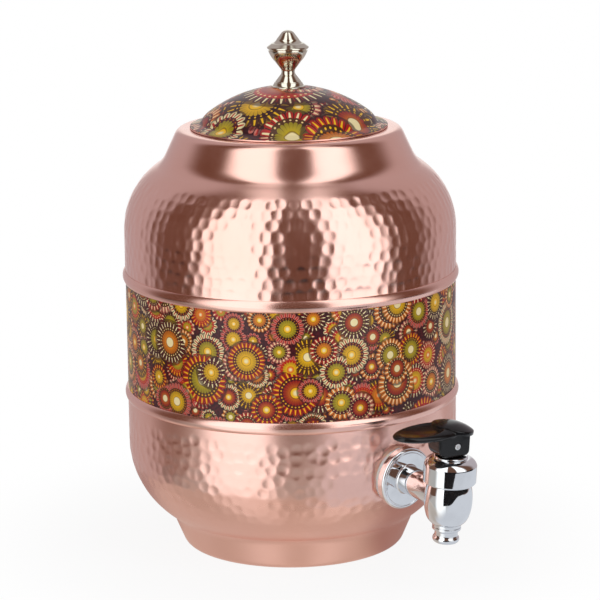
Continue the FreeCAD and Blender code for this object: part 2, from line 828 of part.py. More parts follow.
def make_spout_tip():
    """Ringed collar, narrow neck and flared lip around the outlet."""
    top = bulb_foot_level - thread_gap
    ring = spout_ring_radius
    groove = ring - spout_groove_depth
    first = top - spout_ring_height
    second_top = first - spout_groove_height
    second = second_top - spout_ring_height
    lip = spout_end_level + spout_lip_height
    flare = lip + spout_flare_height
    outline = [
        (outlet_bore, spout_end_level),
        (spout_lip_radius - spout_lip_inset, spout_end_level, bend(spout_lip_round)),
        (spout_lip_radius, lip, bend(spout_lip_round)),
        (spout_lip_radius - spout_flare_inset, flare, bend(spout_lip_round, False)),
        (spout_neck_radius, flare + spout_flare_height),
        (spout_neck_radius, second - spout_ring_fall, bend(spout_ring_round, False)),
        (ring - spout_ring_edge, second),
        (ring, second + spout_ring_edge),
        (ring, second_top),
        (groove, second_top),
        (groove, first),
        (ring, first),
        (ring, top),
        (spout_thread_radius, top),
        (spout_thread_radius, top + spout_thread_length),
        (outlet_bore, top + spout_thread_length),
    ]
    finish_piece(turned("spout", outline), "spout_tip", valve_frame)


def make_bonnet():
    """Smooth round-shouldered nut with a collar, which closes the cup and guides the stem."""
    thread = cup_neck_radius + thread_gap
    shelf = cup_neck_top + gasket_thick + fit_gap
    room = cavity_radius + fit_gap
    outline = [
        (thread, bonnet_foot),
        (bonnet_radius - bonnet_bevel, bonnet_foot),
        (bonnet_radius, bonnet_foot + bonnet_bevel),
        (bonnet_radius, bonnet_shoulder, bend(bonnet_shoulder_round)),
        (bonnet_collar_radius, bonnet_collar_foot),
        (bonnet_collar_radius, bonnet_top - bonnet_collar_bevel),
        (bonnet_collar_radius - bonnet_collar_bevel, bonnet_top),
        (stem_bore, bonnet_top),
        (stem_bore, gland_top),
        (gland_radius, gland_top),
        (gland_radius, bonnet_ceiling),
        (room, bonnet_ceiling),
        (room, shelf),
        (thread, shelf),
    ]
    finish_piece(turned("bonnet_nut", outline), "bonnet", valve_frame)
    gasket_foot = cup_neck_top + fit_gap / 2
    gasket = tube("gasket", room, cup_neck_radius, gasket_foot, gasket_foot + gasket_thick)
    finish_piece(gasket, "bonnet_gasket", valve_frame)


def make_gland():
    """The ring that seals the stem, and the washer that keeps it in its groove."""
    ring = doc.addObject("Part::Torus", "gland_ring")
    bind(ring, "Radius1", stem_bore + oring_wire / 2)
    bind(ring, "Radius2", oring_wire / 2)
    finish_piece(ring, "stem_oring", valve_frame + " * " + place(0, 0, bonnet_ceiling + oring_wire / 2))
    top = bonnet_ceiling - fit_gap / 2
    washer = tube("gland_disc", stem_bore + fit_gap, gland_washer_radius, top - gland_washer_thick, top)
    finish_piece(washer, "spring_washer", valve_frame)


def make_stem():
    post_foot = stem_flange_foot - stem_post_length
    top = pin_level + stem_over_pin
    outline = [
        (0, post_foot),
        (stem_post_radius, post_foot),
        (stem_post_radius, stem_flange_foot),
        (stem_flange_radius, stem_flange_foot),
        (stem_flange_radius, stem_flange_top),
        (stem_radius, stem_flange_top),
        (stem_radius, top),
        (0, top),
    ]
    rod = turned("stem_rod", outline)
    round_rings(rod, cheek_round, (stem_radius, top))
    turned_rod = put(rod, place(0, 0, 0, "0; 0; 1", lever_angle))
    across = place(0, 0, 0, "0; 0; 1", lever_angle) + " * " + place(0, lever_width, pin_level, "1; 0; 0", 90)
    eye = cylinder("stem_eye", pin_radius, lever_width * 2, across)
    finish_piece(cut("stem_cut", turned_rod, eye), "valve_stem", valve_frame)
    pin = cylinder("pin", pin_radius, lever_width)
    finish_piece(pin, "lever_pin", lever_frame + " * " + place(0, lever_width / 2, pin_level, "1; 0; 0", 90))


def make_seal():
    """Silicone plug on the stem's post; its cone closes the outlet."""
    top = stem_flange_foot - fit_gap
    foot = seat_level + fit_gap
    socket = stem_post_radius + running_gap
    socket_foot = stem_flange_foot - stem_post_length - fit_gap * 2
    outline = [
        (0, foot - seal_cone_depth),
        (outlet_bore - seal_cone_depth, foot - seal_cone_depth),
        (outlet_bore - fit_gap * 2, foot),
        (seal_radius - seal_edge, foot),
        (seal_radius, foot + seal_edge),
        (seal_radius, foot + seal_lip_height),
        (seal_radius - seal_waist_depth, foot + seal_waist_height),
        (seal_radius - seal_waist_depth, top - seal_top_height),
        (seal_radius - seal_edge, top),
        (socket, top),
        (socket, socket_foot),
        (0, socket_foot),
    ]
    finish_piece(turned("seal", outline), "seat_seal", valve_frame)


def arc_to(start, heading, stop):
    """The arc that leaves start along heading and reaches stop."""
    span = stop - start
    normal = heading.cross(span)
    aim = normal.cross(heading).normalize()
    radius = span.dot(span) / (2 * aim.dot(span))
    centre = start + aim * radius
    middle = centre + ((start - centre) + (stop - centre)).normalize() * radius
    return Part.Arc(start, middle, stop).toShape()


def coil_point(turn_share, foot, pitch, radius):
    angle = 2 * math.pi * turn_share
    spot = FreeCAD.Vector(radius * math.cos(angle), radius * math.sin(angle), foot + pitch * turn_share)
    rise = pitch / (2 * math.pi * radius)
    heading = FreeCAD.Vector(-math.sin(angle), math.cos(angle), rise).normalize()
    return spot, heading


def coil_path(foot, top, radius, turns):
    """A helix as pairs of tangent arcs, one pair to each quarter turn."""
    pitch = (top - foot) / turns
    edges = []
    quarters = turns * 4
    for quarter in range(quarters):
        start, heading = coil_point(quarter / 4, foot, pitch, radius)
        stop, last_heading = coil_point((quarter + 1) / 4, foot, pitch, radius)
        chord = stop - start
        lean = heading.dot(last_heading)
        both = chord.dot(heading + last_heading)
        reach = (-both + math.sqrt(both ** 2 + 2 * (1 - lean) * chord.dot(chord))) / (2 * (1 - lean))
        knee = start + heading * reach
        next_knee = stop - last_heading * reach
        joint = (knee + next_knee) * 0.5
        edges.append(arc_to(start, heading, joint))
        edges.append(arc_to(joint, next_knee - knee, stop))
    return Part.Wire(edges)


def make_spring():
    """Round-wire compression spring, one unbroken tube between the stem's flange and the gland washer."""
    wire_radius = spring_wire.value / 2
    foot = stem_flange_top.value + wire_radius + fit_gap.value
    top = spring_top.value - wire_radius - fit_gap.value
    path = coil_path(foot, top, spring_radius.value, spring_turns)
    start, heading = coil_point(0, foot, (top - foot) / spring_turns, spring_radius.value)
    section = Part.Wire(Part.Circle(start, heading, wire_radius).toShape())
    item = doc.addObject("Part::Feature", "spring")
    item.Shape = path.makePipeShell([section], True, False)
    gap = (top - foot) / spring_turns - spring_wire.value
    print("return spring: turns %d, gap between turns %.2f mm" % (spring_turns, gap))
    finish_piece(item, "return_spring", valve_frame)


def lever_block():
    """The block between the cheeks, drawn from the side, with the nose that rides on the bonnet."""
    body = doc.addObject("PartDesign::Body", "lever_block")
    pad = body.newObject("PartDesign::Pad", "lever_block_pad")
    outline = [
        (-lever_back + heel_round, lever_foot),
        (lever_front - nose_round, lever_foot, bend(nose_round)),
        (lever_front, lever_foot + nose_round),
        (lever_front, cap_level),
        (-lever_back, cap_level),
        (-lever_back, lever_foot + heel_round, bend(heel_round)),
    ]
    pad.Profile = new_sketch(body, "lever_block_side", "XZ_Plane", outline)
    bind(pad, "Length", lever_width)
    pad.Midplane = True
    doc.recompute()
    edges = []
    for index, edge in enumerate(pad.Shape.Edges):
        if abs(edge.BoundBox.YMax - edge.BoundBox.YMin) < same_place:
            edges.append("Edge%d" % (index + 1))
    fillet = body.newObject("PartDesign::Fillet", "lever_block_round")
    fillet.Base = (pad, edges)
    bind(fillet, "Radius", cheek_round)
    return body


def lever_cap():
    """A thick crowned disc over the block, leaning down towards the back."""
    crown_round = (cap_radius * cap_radius + cap_crown * cap_crown) / (cap_crown * 2)
    outline = [
        (0, -cap_drop),
        (cap_radius, -cap_drop),
        (cap_radius, cap_rise, bend(crown_round)),
        (0, cap_rise + cap_crown),
    ]
    disc = turned("lever_cap", outline)
    round_rings(disc, cheek_round, (cap_radius, -cap_drop), (cap_radius, cap_rise))
    return put(disc, place(0, 0, cap_level, "0; 1; 0", -cap_tilt))


def lever_handle():
    """Broad leaf-shaped handle, with a shallow dish for the thumb and a rolled rim."""
    half_length = (handle_reach + handle_root) / 2
    leaf = ellipsoid("lever_leaf", handle_half_thick, half_length, handle_half_width,
                     place(handle_reach - half_length, 0, handle_level))
    dish_half_length = (handle_reach + dish_overrun - dish_start) / 2
    dish = ellipsoid("lever_dish", dish_depth, dish_half_length, dish_half_width,
                     place(dish_start + dish_half_length, 0, handle_level + handle_half_thick))
    return cut("lever_handle", leaf, dish)


def make_lever():
    """Moulded lever: block with cheeks, leaning cap and dished handle."""
    solid = fuse("lever_solid", lever_block(), lever_cap(), lever_handle())
    slot_foot = lever_foot - spare
    slot = box("stem_slot", slot_back + slot_front, slot_width, slot_top - slot_foot,
               place(-slot_back, -slot_width / 2, slot_foot))
    slotted = cut("lever_slotted", solid, slot)
    bore = cylinder("pin_bore", pin_radius + pin_gap, lever_width * 2,
                    place(0, lever_width, pin_level, "1; 0; 0", 90))
    finish_piece(cut("lever_bored", slotted, bore), "lever", lever_frame)


def check_and_write():
    """Stops on any failed object or bad shape, then writes each piece to its own file."""
    doc.recompute()
    for item in doc.Objects:
        if "Invalid" in item.State or "Error" in item.State:
            raise RuntimeError("%s failed: %s" % (item.Label, item.State))
    for item in pieces:
        shape = item.Shape
        if shape.isNull() or not shape.isValid() or len(shape.Solids) != 1:
            raise RuntimeError("%s has a bad shape" % item.Label)
    os.makedirs("parts", exist_ok=True)
    for item in pieces:
        item.Shape.exportStep(os.path.join("parts", item.Label + ".step"))
        print("%-16s volume %10.1f mm3" % (item.Label, item.Shape.Volume))


filled_belly = belly_form("belly_filled")
make_belly(filled_belly)
make_barrel()
make_bead("lower_bead", lower_seam, -1)
make_bead("upper_bead", upper_seam, 1)
make_shoulder()
make_lid()
make_finial()
make_finial_fixing()
make_tap_body()
make_tail_nut()
make_spout_tip()
make_bonnet()
make_gland()
make_seal()
make_stem()
make_spring()
make_lever()
check_and_write()
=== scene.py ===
"""Copper water dispenser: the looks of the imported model.

Outlines are in millimetres, as radius and height, and become metres when they are spun.
"""

import json
import math
import random

import bmesh
import bpy
import numpy as np
from mathutils import Matrix, Vector
from mathutils.kdtree import KDTree


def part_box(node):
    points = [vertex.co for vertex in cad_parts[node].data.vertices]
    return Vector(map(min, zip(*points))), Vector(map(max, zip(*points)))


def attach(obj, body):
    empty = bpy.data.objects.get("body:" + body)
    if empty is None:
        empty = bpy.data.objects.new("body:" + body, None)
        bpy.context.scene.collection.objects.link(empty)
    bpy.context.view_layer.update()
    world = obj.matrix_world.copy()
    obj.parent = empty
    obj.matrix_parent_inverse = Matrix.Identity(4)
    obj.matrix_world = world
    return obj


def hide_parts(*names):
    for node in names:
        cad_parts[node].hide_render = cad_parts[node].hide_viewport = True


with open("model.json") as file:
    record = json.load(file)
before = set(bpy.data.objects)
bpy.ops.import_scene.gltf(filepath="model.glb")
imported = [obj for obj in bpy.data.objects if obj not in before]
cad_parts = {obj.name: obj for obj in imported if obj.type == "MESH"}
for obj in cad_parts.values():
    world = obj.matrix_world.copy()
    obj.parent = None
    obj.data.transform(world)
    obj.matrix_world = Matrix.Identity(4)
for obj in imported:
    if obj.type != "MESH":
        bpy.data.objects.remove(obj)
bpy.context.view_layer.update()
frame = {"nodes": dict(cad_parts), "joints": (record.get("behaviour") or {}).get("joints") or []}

MM = 0.001
SMOOTH_ANGLE = math.radians(32)
WELD = 2e-6
ON_AXIS = 1e-6

# Segments round the pieces; past FEW_SEGMENTS a piece is spun as copies of one sector
FEW_SEGMENTS = 200
FINE_SECTORS = 16
SHELL_SEGMENTS = 640
HOOP_SEGMENTS = 352
BARREL_SEGMENTS = 256
COLLAR_SEGMENTS = 192
CASTING_SEGMENTS = 128
TURNED_SEGMENTS = 96
CAVITY_SEGMENTS = 64
BORE_SEGMENTS = 48


def level(node, end):
    """Lowest (0) or highest (1) level of a node, in mm."""
    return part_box(node)[end].z / MM


def reach(node):
    """Largest radius of a round node about the vessel's axis, in mm."""
    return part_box(node)[1].x / MM


# Copper sheet, and how far a piece stands off the one behind it
SHEET = 0.8
FIT_GAP = 0.1
HOOP_GAP = 0.05

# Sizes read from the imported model
WALL = reach("belly_shell")
LOWER_SEAM = level("belly_shell", 1)
UPPER_SEAM = level("shoulder_shell", 0)
RIM_LEVEL = level("shoulder_shell", 1)
BAND = reach("printed_band")
BAND_FOOT = level("printed_band", 0)
BAND_TOP = level("printed_band", 1)
BEAD = reach("upper_bead")
BEAD_HEIGHT = level("upper_bead", 1) - level("upper_bead", 0)
BRIM = reach("lid_dome")
BRIM_FOOT = level("lid_dome", 0)
DOME_TOP = level("lid_dome", 1)
COLLAR = reach("lid_collar")
COLLAR_FOOT = level("lid_collar", 0)
FINIAL_TIP = level("finial", 1)

joints = {joint["name"]: joint for joint in frame["joints"]}
VALVE_PLACE = Vector(joints["lever_swivel"]["pos_m"])
VALVE_UP = Vector(joints["lever_swivel"]["axis"]).normalized()
PIN_PLACE = Vector(joints["lever_tilt"]["pos_m"])
PIN_AXIS = Vector(joints["lever_tilt"]["axis"]).normalized()

# The shank leaves the wall here and droops a little towards the valve
TILT = math.radians(5)
OUTWARD = Vector((0, -math.cos(TILT), -math.sin(TILT)))
SHANK_REACH = 43.0
WALL_PLACE = VALVE_PLACE - OUTWARD * SHANK_REACH * MM


# Outlines

ARC_STEP_SHARE = 0.12
LONGEST_CUT = 0.4
ROUNDING_STEPS = 8


def straight(start, stop, step):
    """Points of a straight run, without its last."""
    count = max(1, math.ceil(math.dist(start, stop) / step)) if step else 1
    return [tuple(a + (b - a) * i / count for a, b in zip(start, stop)) for i in range(count)]


def curved(start, stop, radius, step):
    """Points of an arc; a positive radius has its centre on the left of the way it runs."""
    (x0, y0), (x1, y1) = start, stop
    chord = math.dist(start, stop)
    rise = math.copysign(math.sqrt(max(radius ** 2 - chord ** 2 / 4, 0)), radius)
    centre_x = (x0 + x1) / 2 - (y1 - y0) / chord * rise
    centre_y = (y0 + y1) / 2 + (x1 - x0) / chord * rise
    first = math.atan2(y0 - centre_y, x0 - centre_x)
    turn = 2 * math.asin(min(1, chord / 2 / abs(radius)))
    turn = math.copysign(turn, radius)
    count = max(3, math.ceil(abs(turn * radius) / (step or abs(radius) * ARC_STEP_SHARE)))
    size = abs(radius)
    return [(centre_x + size * math.cos(first + turn * i / count),
             centre_y + size * math.sin(first + turn * i / count)) for i in range(count)]


def trace(corners, step=None, closed=True):
    """Points along corners (across, up) or (across, up, radius of the arc to the next corner)."""
    points = []
    last = len(corners) - (0 if closed else 1)
    for index in range(last):
        start = corners[index]
        stop = corners[(index + 1) % len(corners)][:2]
        if len(start) == 3:
            points += curved(start[:2], stop, start[2], step)
        else:
            points += straight(start, stop, step)
    if not closed:
        points.append(tuple(corners[-1][:2]))
    return points


def blunted(points, size, sharp=25.0, closed=True):
    """Takes the edge off each sharp corner of an outline with a short curve."""
    made = []
    count = len(points)
    for index, here in enumerate(points):
        if not closed and index in (0, count - 1):
            made.append(here)
            continue
        before = Vector(points[index - 1]) - Vector(here)
        after = Vector(points[(index + 1) % count]) - Vector(here)
        turn = 180 - math.degrees(before.angle(after, math.pi))
        on_axis = abs(here[0]) < ON_AXIS
        if turn < sharp or on_axis:
            made.append(here)
            continue
        cut = min(size, before.length * LONGEST_CUT, after.length * LONGEST_CUT)
        start = Vector(here) + before.normalized() * cut
        stop = Vector(here) + after.normalized() * cut
        for share in (0, 0.25, 0.5, 0.75, 1):
            low = start.lerp(Vector(here), share)
            high = Vector(here).lerp(stop, share)
            made.append(tuple(low.lerp(high, share)))
    return made


def rounded_at(points, corner, size):
    """Rounds one corner of a finely stepped outline over a length each side of it."""
    index = min(range(len(points)), key=lambda i: math.dist(points[i], corner))
    first = index
    while first > 0 and math.dist(points[first], corner) < size:
        first -= 1
    last = index
    while last < len(points) - 1 and math.dist(points[last], corner) < size:
        last += 1
    start, middle, stop = Vector(points[first]), Vector(corner), Vector(points[last])
    curve = []
    for i in range(ROUNDING_STEPS + 1):
        share = i / ROUNDING_STEPS
        curve.append(tuple(start.lerp(middle, share).lerp(middle.lerp(stop, share), share)))
    return points[:first] + curve + points[last + 1:]


# Pieces

def spin_outline(bm, outline, segments, closed=True):
    """Spins an outline in mm about Z into a closed skin in metres, a fine one as copies of a sector."""
    verts = [bm.verts.new((across * MM, 0, up * MM)) for across, up in outline]
    pairs = list(zip(verts, verts[1:]))
    if closed:
        pairs.append((verts[-1], verts[0]))
    edges = [bm.edges.new(pair) for pair in pairs if max(vert.co.x for vert in pair) > ON_AXIS * MM]
    sectors = FINE_SECTORS if segments > FEW_SEGMENTS else 1
    about = {"axis": (0, 0, 1), "cent": (0, 0, 0)}
    bmesh.ops.spin(bm, geom=verts + edges, angle=math.tau / sectors, steps=segments // sectors,
                   use_merge=sectors == 1, use_duplicate=False, **about)
    if sectors > 1:
        sector = [*bm.verts, *bm.edges, *bm.faces]
        bmesh.ops.spin(bm, geom=sector, angle=math.tau * (sectors - 1) / sectors, steps=sectors - 1,
                       use_merge=False, use_duplicate=True, **about)
    bmesh.ops.remove_doubles(bm, verts=bm.verts, dist=WELD)
    loose = [edge for edge in bm.edges if not edge.link_faces]
    bmesh.ops.delete(bm, geom=loose, context="EDGES")
    bmesh.ops.recalc_face_normals(bm, faces=bm.faces)


def spun(outline, segments, closed=True):
    """A new bmesh holding one spun outline."""
    bm = bmesh.new()
    spin_outline(bm, outline, segments, closed)
    return bm


def mesh_object(name, bm, place=None):
    """A smooth-shaded object from a bmesh, moved to its place in the mesh itself."""
    if place:
        bm.transform(place)
    mesh = bpy.data.meshes.new(name)
    bm.to_mesh(mesh)
    bm.free()
    mesh.shade_smooth()
    mesh.set_sharp_from_angle(angle=SMOOTH_ANGLE)
    item = bpy.data.objects.new(name, mesh)
    bpy.context.scene.collection.objects.link(item)
    return item


def add_piece(item, body, slot, material, *nodes):
    """Gives a finished object its material, hangs it under its body's empty, and hides the imported nodes it
    replaces.
    """
    item.data.materials.clear()
    item.data.materials.append(material)
    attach(item, body)
    if nodes:
        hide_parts(*nodes)
    return item


def frame_along(place, up, side=(1, 0, 0)):
    """A matrix whose Z runs along a direction and whose X lies nearest to side."""
    up = Vector(up).normalized()
    across = Vector(side)
    across = (across - up * across.dot(up)).normalized()
    third = up.cross(across)
    turn = Matrix((across, third, up)).transposed().to_4x4()
    return Matrix.Translation(place) @ turn


def cut_or_join(target, tool, operation):
    """Applies a boolean of two objects to the first and deletes the second."""
    change = target.modifiers.new(operation.lower(), "BOOLEAN")
    change.operation = operation
    change.solver = "MANIFOLD"
    change.object = tool
    bake_modifiers(target)
    bpy.data.objects.remove(tool)


def bake_modifiers(item):
    """Makes an object's mesh what its modifiers show."""
    graph = bpy.context.evaluated_depsgraph_get()
    made = bpy.data.meshes.new_from_object(item.evaluated_get(graph))
    item.modifiers.clear()
    item.data = made
    made.shade_smooth()
    made.set_sharp_from_angle(angle=SMOOTH_ANGLE)


# Node writing

class Nodes:
    """Writes shader nodes as short calls that return sockets."""

    def __init__(self, tree):
        self.tree = tree

    def add(self, kind, **settings):
        node = self.tree.nodes.new(kind)
        for name, value in settings.items():
            setattr(node, name, value)
        return node

    def feed(self, socket, value):
        if isinstance(value, bpy.types.NodeSocket):
            self.tree.links.new(value, socket)
        elif value is not None:
            socket.default_value = value

    def math(self, operation, first, second=None, third=None, clamp=False):
        node = self.add("ShaderNodeMath", operation=operation, use_clamp=clamp)
        for socket, value in zip(node.inputs, (first, second, third)):
            self.feed(socket, value)
        return node.outputs[0]

    def vector(self, operation, first, second=None, scale=None):
        node = self.add("ShaderNodeVectorMath", operation=operation)
        self.feed(node.inputs[0], first)
        self.feed(node.inputs[1], second)
        if scale is not None:
            self.feed(node.inputs["Scale"], scale)
        return node.outputs["Value" if operation in ("LENGTH", "DOT_PRODUCT") else "Vector"]

    def split(self, vector):
        node = self.add("ShaderNodeSeparateXYZ")
        self.feed(node.inputs[0], vector)
        return node.outputs

    def ramp(self, value, low, high, to_low=0.0, to_high=1.0, smooth=True):
        node = self.add("ShaderNodeMapRange", interpolation_type="SMOOTHSTEP" if smooth else "LINEAR")
        for name, item in (("Value", value), ("From Min", low), ("From Max", high),
                           ("To Min", to_low), ("To Max", to_high)):
            self.feed(node.inputs[name], item)
        return node.outputs[0]

    def mix(self, factor, first, second, blend="MIX"):
        node = self.add("ShaderNodeMix", data_type="RGBA", blend_type=blend)
        self.feed(node.inputs["Factor"], factor)
        self.feed(node.inputs["A"], colour(first))
        self.feed(node.inputs["B"], colour(second))
        return node.outputs["Result"]

    def palette(self, value, colours):
        """One of several flat colours, picked by a value from 0 to 1."""
        node = self.add("ShaderNodeValToRGB")
        ramp = node.color_ramp
        ramp.interpolation = "CONSTANT"
        for index, shade in enumerate(colours):
            stop = ramp.elements[0] if index == 0 else ramp.elements.new(index / len(colours))
            stop.color = colour(shade)
        ramp.elements.remove(ramp.elements[-1])
        self.feed(node.inputs[0], value)
        return node.outputs[0]

    def mix_shaders(self, factor, first, second):
        node = self.add("ShaderNodeMixShader")
        for socket, value in zip(node.inputs, (factor, first, second)):
            self.feed(socket, value)
        return node.outputs[0]

    def noise(self, vector, scale, detail=2.0, roughness=0.5):
        node = self.add("ShaderNodeTexNoise")
        self.feed(node.inputs["Vector"], vector)
        self.feed(node.inputs["Scale"], scale)
        self.feed(node.inputs["Detail"], detail)
        self.feed(node.inputs["Roughness"], roughness)
        return node.outputs[0]

    def bump(self, height, strength, distance, under=None):
        node = self.add("ShaderNodeBump")
        self.feed(node.inputs["Height"], height)
        self.feed(node.inputs["Strength"], strength)
        self.feed(node.inputs["Distance"], distance)
        self.feed(node.inputs["Normal"], under)
        return node.outputs[0]


def colour(value):
    """A colour with its fourth channel; a socket or number passes through."""
    if isinstance(value, tuple) and len(value) == 3:
        return (*value, 1.0)
    return value


def new_material(name, **sockets):
    """A material with one Principled shader; constants go straight onto its sockets."""
    material = bpy.data.materials.new(name)
    material.use_nodes = True
    tree = material.node_tree
    tree.nodes.clear()
    nodes = Nodes(tree)
    shader = nodes.add("ShaderNodeBsdfPrincipled")
    output = nodes.add("ShaderNodeOutputMaterial")
    tree.links.new(shader.outputs[0], output.inputs[0])
    for socket, value in sockets.items():
        nodes.feed(shader.inputs[socket.replace("_", " ")], colour(value))
    return material, nodes, shader


def object_place(nodes):
    return nodes.add("ShaderNodeTexCoord").outputs["Object"]


def surface_of(material):
    """The socket that takes a material's finished surface."""
    output = next(node for node in material.node_tree.nodes if node.type == "OUTPUT_MATERIAL")
    return output.inputs["Surface"]


# Materials

COPPER = (0.94, 0.585, 0.505)
COPPER_WARM = (0.92, 0.55, 0.46)
HAZE_FADE = (0.060, 0.025)


def make_copper(name, roughness, spin_marks, foot_haze=0.0):
    """Satin lacquered copper: faint turning marks, cloudy lacquer and slow shifts of colour."""
    material, nodes, shader = new_material(name, Metallic=1.0)
    place = object_place(nodes)
    cloud = nodes.noise(place, 14.0, 3.0)
    tint = nodes.mix(nodes.ramp(cloud, 0.35, 0.7), COPPER, COPPER_WARM)
    nodes.feed(shader.inputs["Base Color"], tint)
    haze = nodes.ramp(nodes.noise(place, 60.0, 2.0), 0.3, 0.7, roughness - 0.02, roughness + 0.03)
    lower = nodes.ramp(nodes.split(place)[2], *HAZE_FADE, 0.0, foot_haze)
    nodes.feed(shader.inputs["Roughness"], nodes.math("ADD", haze, lower))
    stretched = nodes.vector("MULTIPLY", place, (6.0, 6.0, 900.0))
    marks = nodes.noise(stretched, 1.0, 2.0)
    grain = nodes.noise(place, 1500.0, 1.0)
    soft = nodes.bump(grain, 0.05, 0.0002)
    nodes.feed(shader.inputs["Normal"], nodes.bump(marks, spin_marks, 0.0004, soft))
    return material


OLIVE = (0.50, 0.42, 0.02)
GOLD = (0.95, 0.55, 0.01)
ORANGE = (0.85, 0.22, 0.015)
RED = (0.52, 0.014, 0.010)
ROSE = (0.70, 0.20, 0.15)
CREAM = (0.96, 0.84, 0.46)
MAROON = (0.085, 0.006, 0.012)
PLUM = (0.035, 0.004, 0.008)
BROWN = (0.09, 0.028, 0.010)

# How far the pattern is moved aside, in metres, where the sheet stays bare
BARE_SHIFT = 10.0

# Layers of flowers: spacing in metres, shift, petals, and the share of places that have one
FLOWER_LAYERS = (
    (0.0125, 0.31, 12, 1.0),
    (0.0165, 0.87, 18, 1.0),
    (0.0215, 1.63, 22, 0.85),
    (0.0285, 2.41, 26, 0.5),
    (0.0190, 3.07, 18, 0.35),
)

# Rings of a flower, as shares of its own radius
OUTER_RING = 0.97
MIDDLE_RING = 0.70
BEAD_RING = 0.60
INNER_RING = 0.53
HEART_RING = 0.26
HEART = 0.235
EDGE_BLUR = 0.012
SMALLEST_FLOWER = 0.40
LARGEST_FLOWER = 0.56


def flower(nodes, sheet, spacing, shift, petals, presence):
    """One layer of round flowers laid out in cells; gives where they are and their colour."""
    moved = nodes.vector("ADD", sheet, (shift, shift * 0.37, 0.0))
    cells = nodes.add("ShaderNodeTexVoronoi", voronoi_dimensions="2D", feature="F1")
    nodes.feed(cells.inputs["Vector"], moved)
    nodes.feed(cells.inputs["Scale"], 1.0 / spacing)
    nodes.feed(cells.inputs["Randomness"], 0.62)
    chance = nodes.split(cells.outputs["Color"])
    offset = nodes.vector("SUBTRACT", moved, cells.outputs["Position"])
    across = nodes.split(offset)
    size = nodes.ramp(chance[1], 0.0, 1.0, spacing * SMALLEST_FLOWER, spacing * LARGEST_FLOWER, smooth=False)
    far = nodes.math("DIVIDE", nodes.vector("LENGTH", offset), size)
    angle = nodes.math("ARCTAN2", across[1], across[0])
    turn = nodes.math("MULTIPLY_ADD", angle, petals / math.tau, nodes.math("MULTIPLY", chance[0], 5.0))
    part = nodes.math("FRACT", turn)
    side = nodes.math("ABSOLUTE", nodes.math("MULTIPLY_ADD", part, 2.0, -1.0))
    side_squared = nodes.math("MULTIPLY", side, nodes.math("MULTIPLY", side, 0.98))
    bow = nodes.math("SQRT", nodes.math("SUBTRACT", 1.0, side_squared))
    hollow = nodes.math("SUBTRACT", 1.0, bow)
    width = math.pi / petals

    def inside(edge, scallop):
        """1 inside a scalloped ring of petals of the given outer edge."""
        tip = nodes.math("MULTIPLY_ADD", hollow, -scallop * width, edge)
        return nodes.ramp(nodes.math("SUBTRACT", tip, far), -EDGE_BLUR, EDGE_BLUR)

    outer = nodes.palette(chance[0], (RED, BROWN, ROSE, RED, CREAM, MAROON, ORANGE, ROSE))
    vein = nodes.palette(chance[0], (CREAM, GOLD, CREAM, GOLD, RED, CREAM, CREAM, RED))
    middle = nodes.palette(chance[2], (MAROON, BROWN, RED, PLUM, BROWN))
    inner = nodes.palette(chance[1], (GOLD, OLIVE, ORANGE, OLIVE, RED, GOLD, OLIVE))
    heart = nodes.palette(chance[2], (GOLD, CREAM, ORANGE, GOLD, CREAM))

    # Outer petals with light ribs that taper outwards
    shade = nodes.mix(nodes.ramp(far, MIDDLE_RING, 0.98), outer, nodes.mix(0.35, outer, PLUM))
    taper = nodes.ramp(far, 0.60, 0.95, 0.42, 0.12, smooth=False)
    rib = nodes.math("MULTIPLY", nodes.ramp(nodes.math("SUBTRACT", side, taper), 0.05, -0.05),
                     nodes.ramp(far, 0.93, 0.90))
    shade = nodes.mix(rib, shade, vein)
    shade = nodes.mix(nodes.ramp(side, 0.80, 0.88), shade, PLUM)

    # Dark middle ring with a row of light beads
    shade = nodes.mix(inside(MIDDLE_RING, 0.6), shade, middle)
    bead_across = nodes.math("MULTIPLY", side, width * BEAD_RING)
    bead_out = nodes.math("SUBTRACT", far, BEAD_RING)
    across_squared = nodes.math("POWER", bead_across, 2.0)
    out_squared = nodes.math("POWER", bead_out, 2.0)
    bead = nodes.math("POWER", nodes.math("ADD", across_squared, out_squared), 0.5)
    shade = nodes.mix(nodes.ramp(bead, 0.036, 0.024), shade, nodes.mix(0.35, vein, GOLD))

    # Inner petals, the gaps between them, and the heart
    petal_dark = nodes.mix(0.40, inner, BROWN)
    petal_light = nodes.mix(0.30, inner, GOLD)
    petal_glow = nodes.mix(nodes.ramp(far, 0.50, 0.10), petal_dark, petal_light)
    shade = nodes.mix(inside(INNER_RING, 0.9), shade, petal_glow)
    petal_gap = nodes.math("MULTIPLY", nodes.ramp(side, 0.86, 0.96), nodes.ramp(far, 0.24, 0.40, 0.0, 0.8))
    shade = nodes.mix(petal_gap, shade, middle)
    shade = nodes.mix(nodes.ramp(far, HEART_RING, 0.245, 0.0, 0.6), shade, middle)
    heart_glow = nodes.mix(nodes.ramp(far, 0.17, 0.04), heart, CREAM)
    shade = nodes.mix(nodes.ramp(far, HEART, 0.20), shade, heart_glow)
    mask = inside(OUTER_RING, 1.6)
    rim = nodes.math("SUBTRACT", nodes.ramp(far, 1.08, 1.03), mask, clamp=True)
    if presence < 1:
        chosen = nodes.math("LESS_THAN", chance[2], presence)
        mask = nodes.math("MULTIPLY", mask, chosen)
        rim = nodes.math("MULTIPLY", rim, chosen)
    return mask, rim, shade


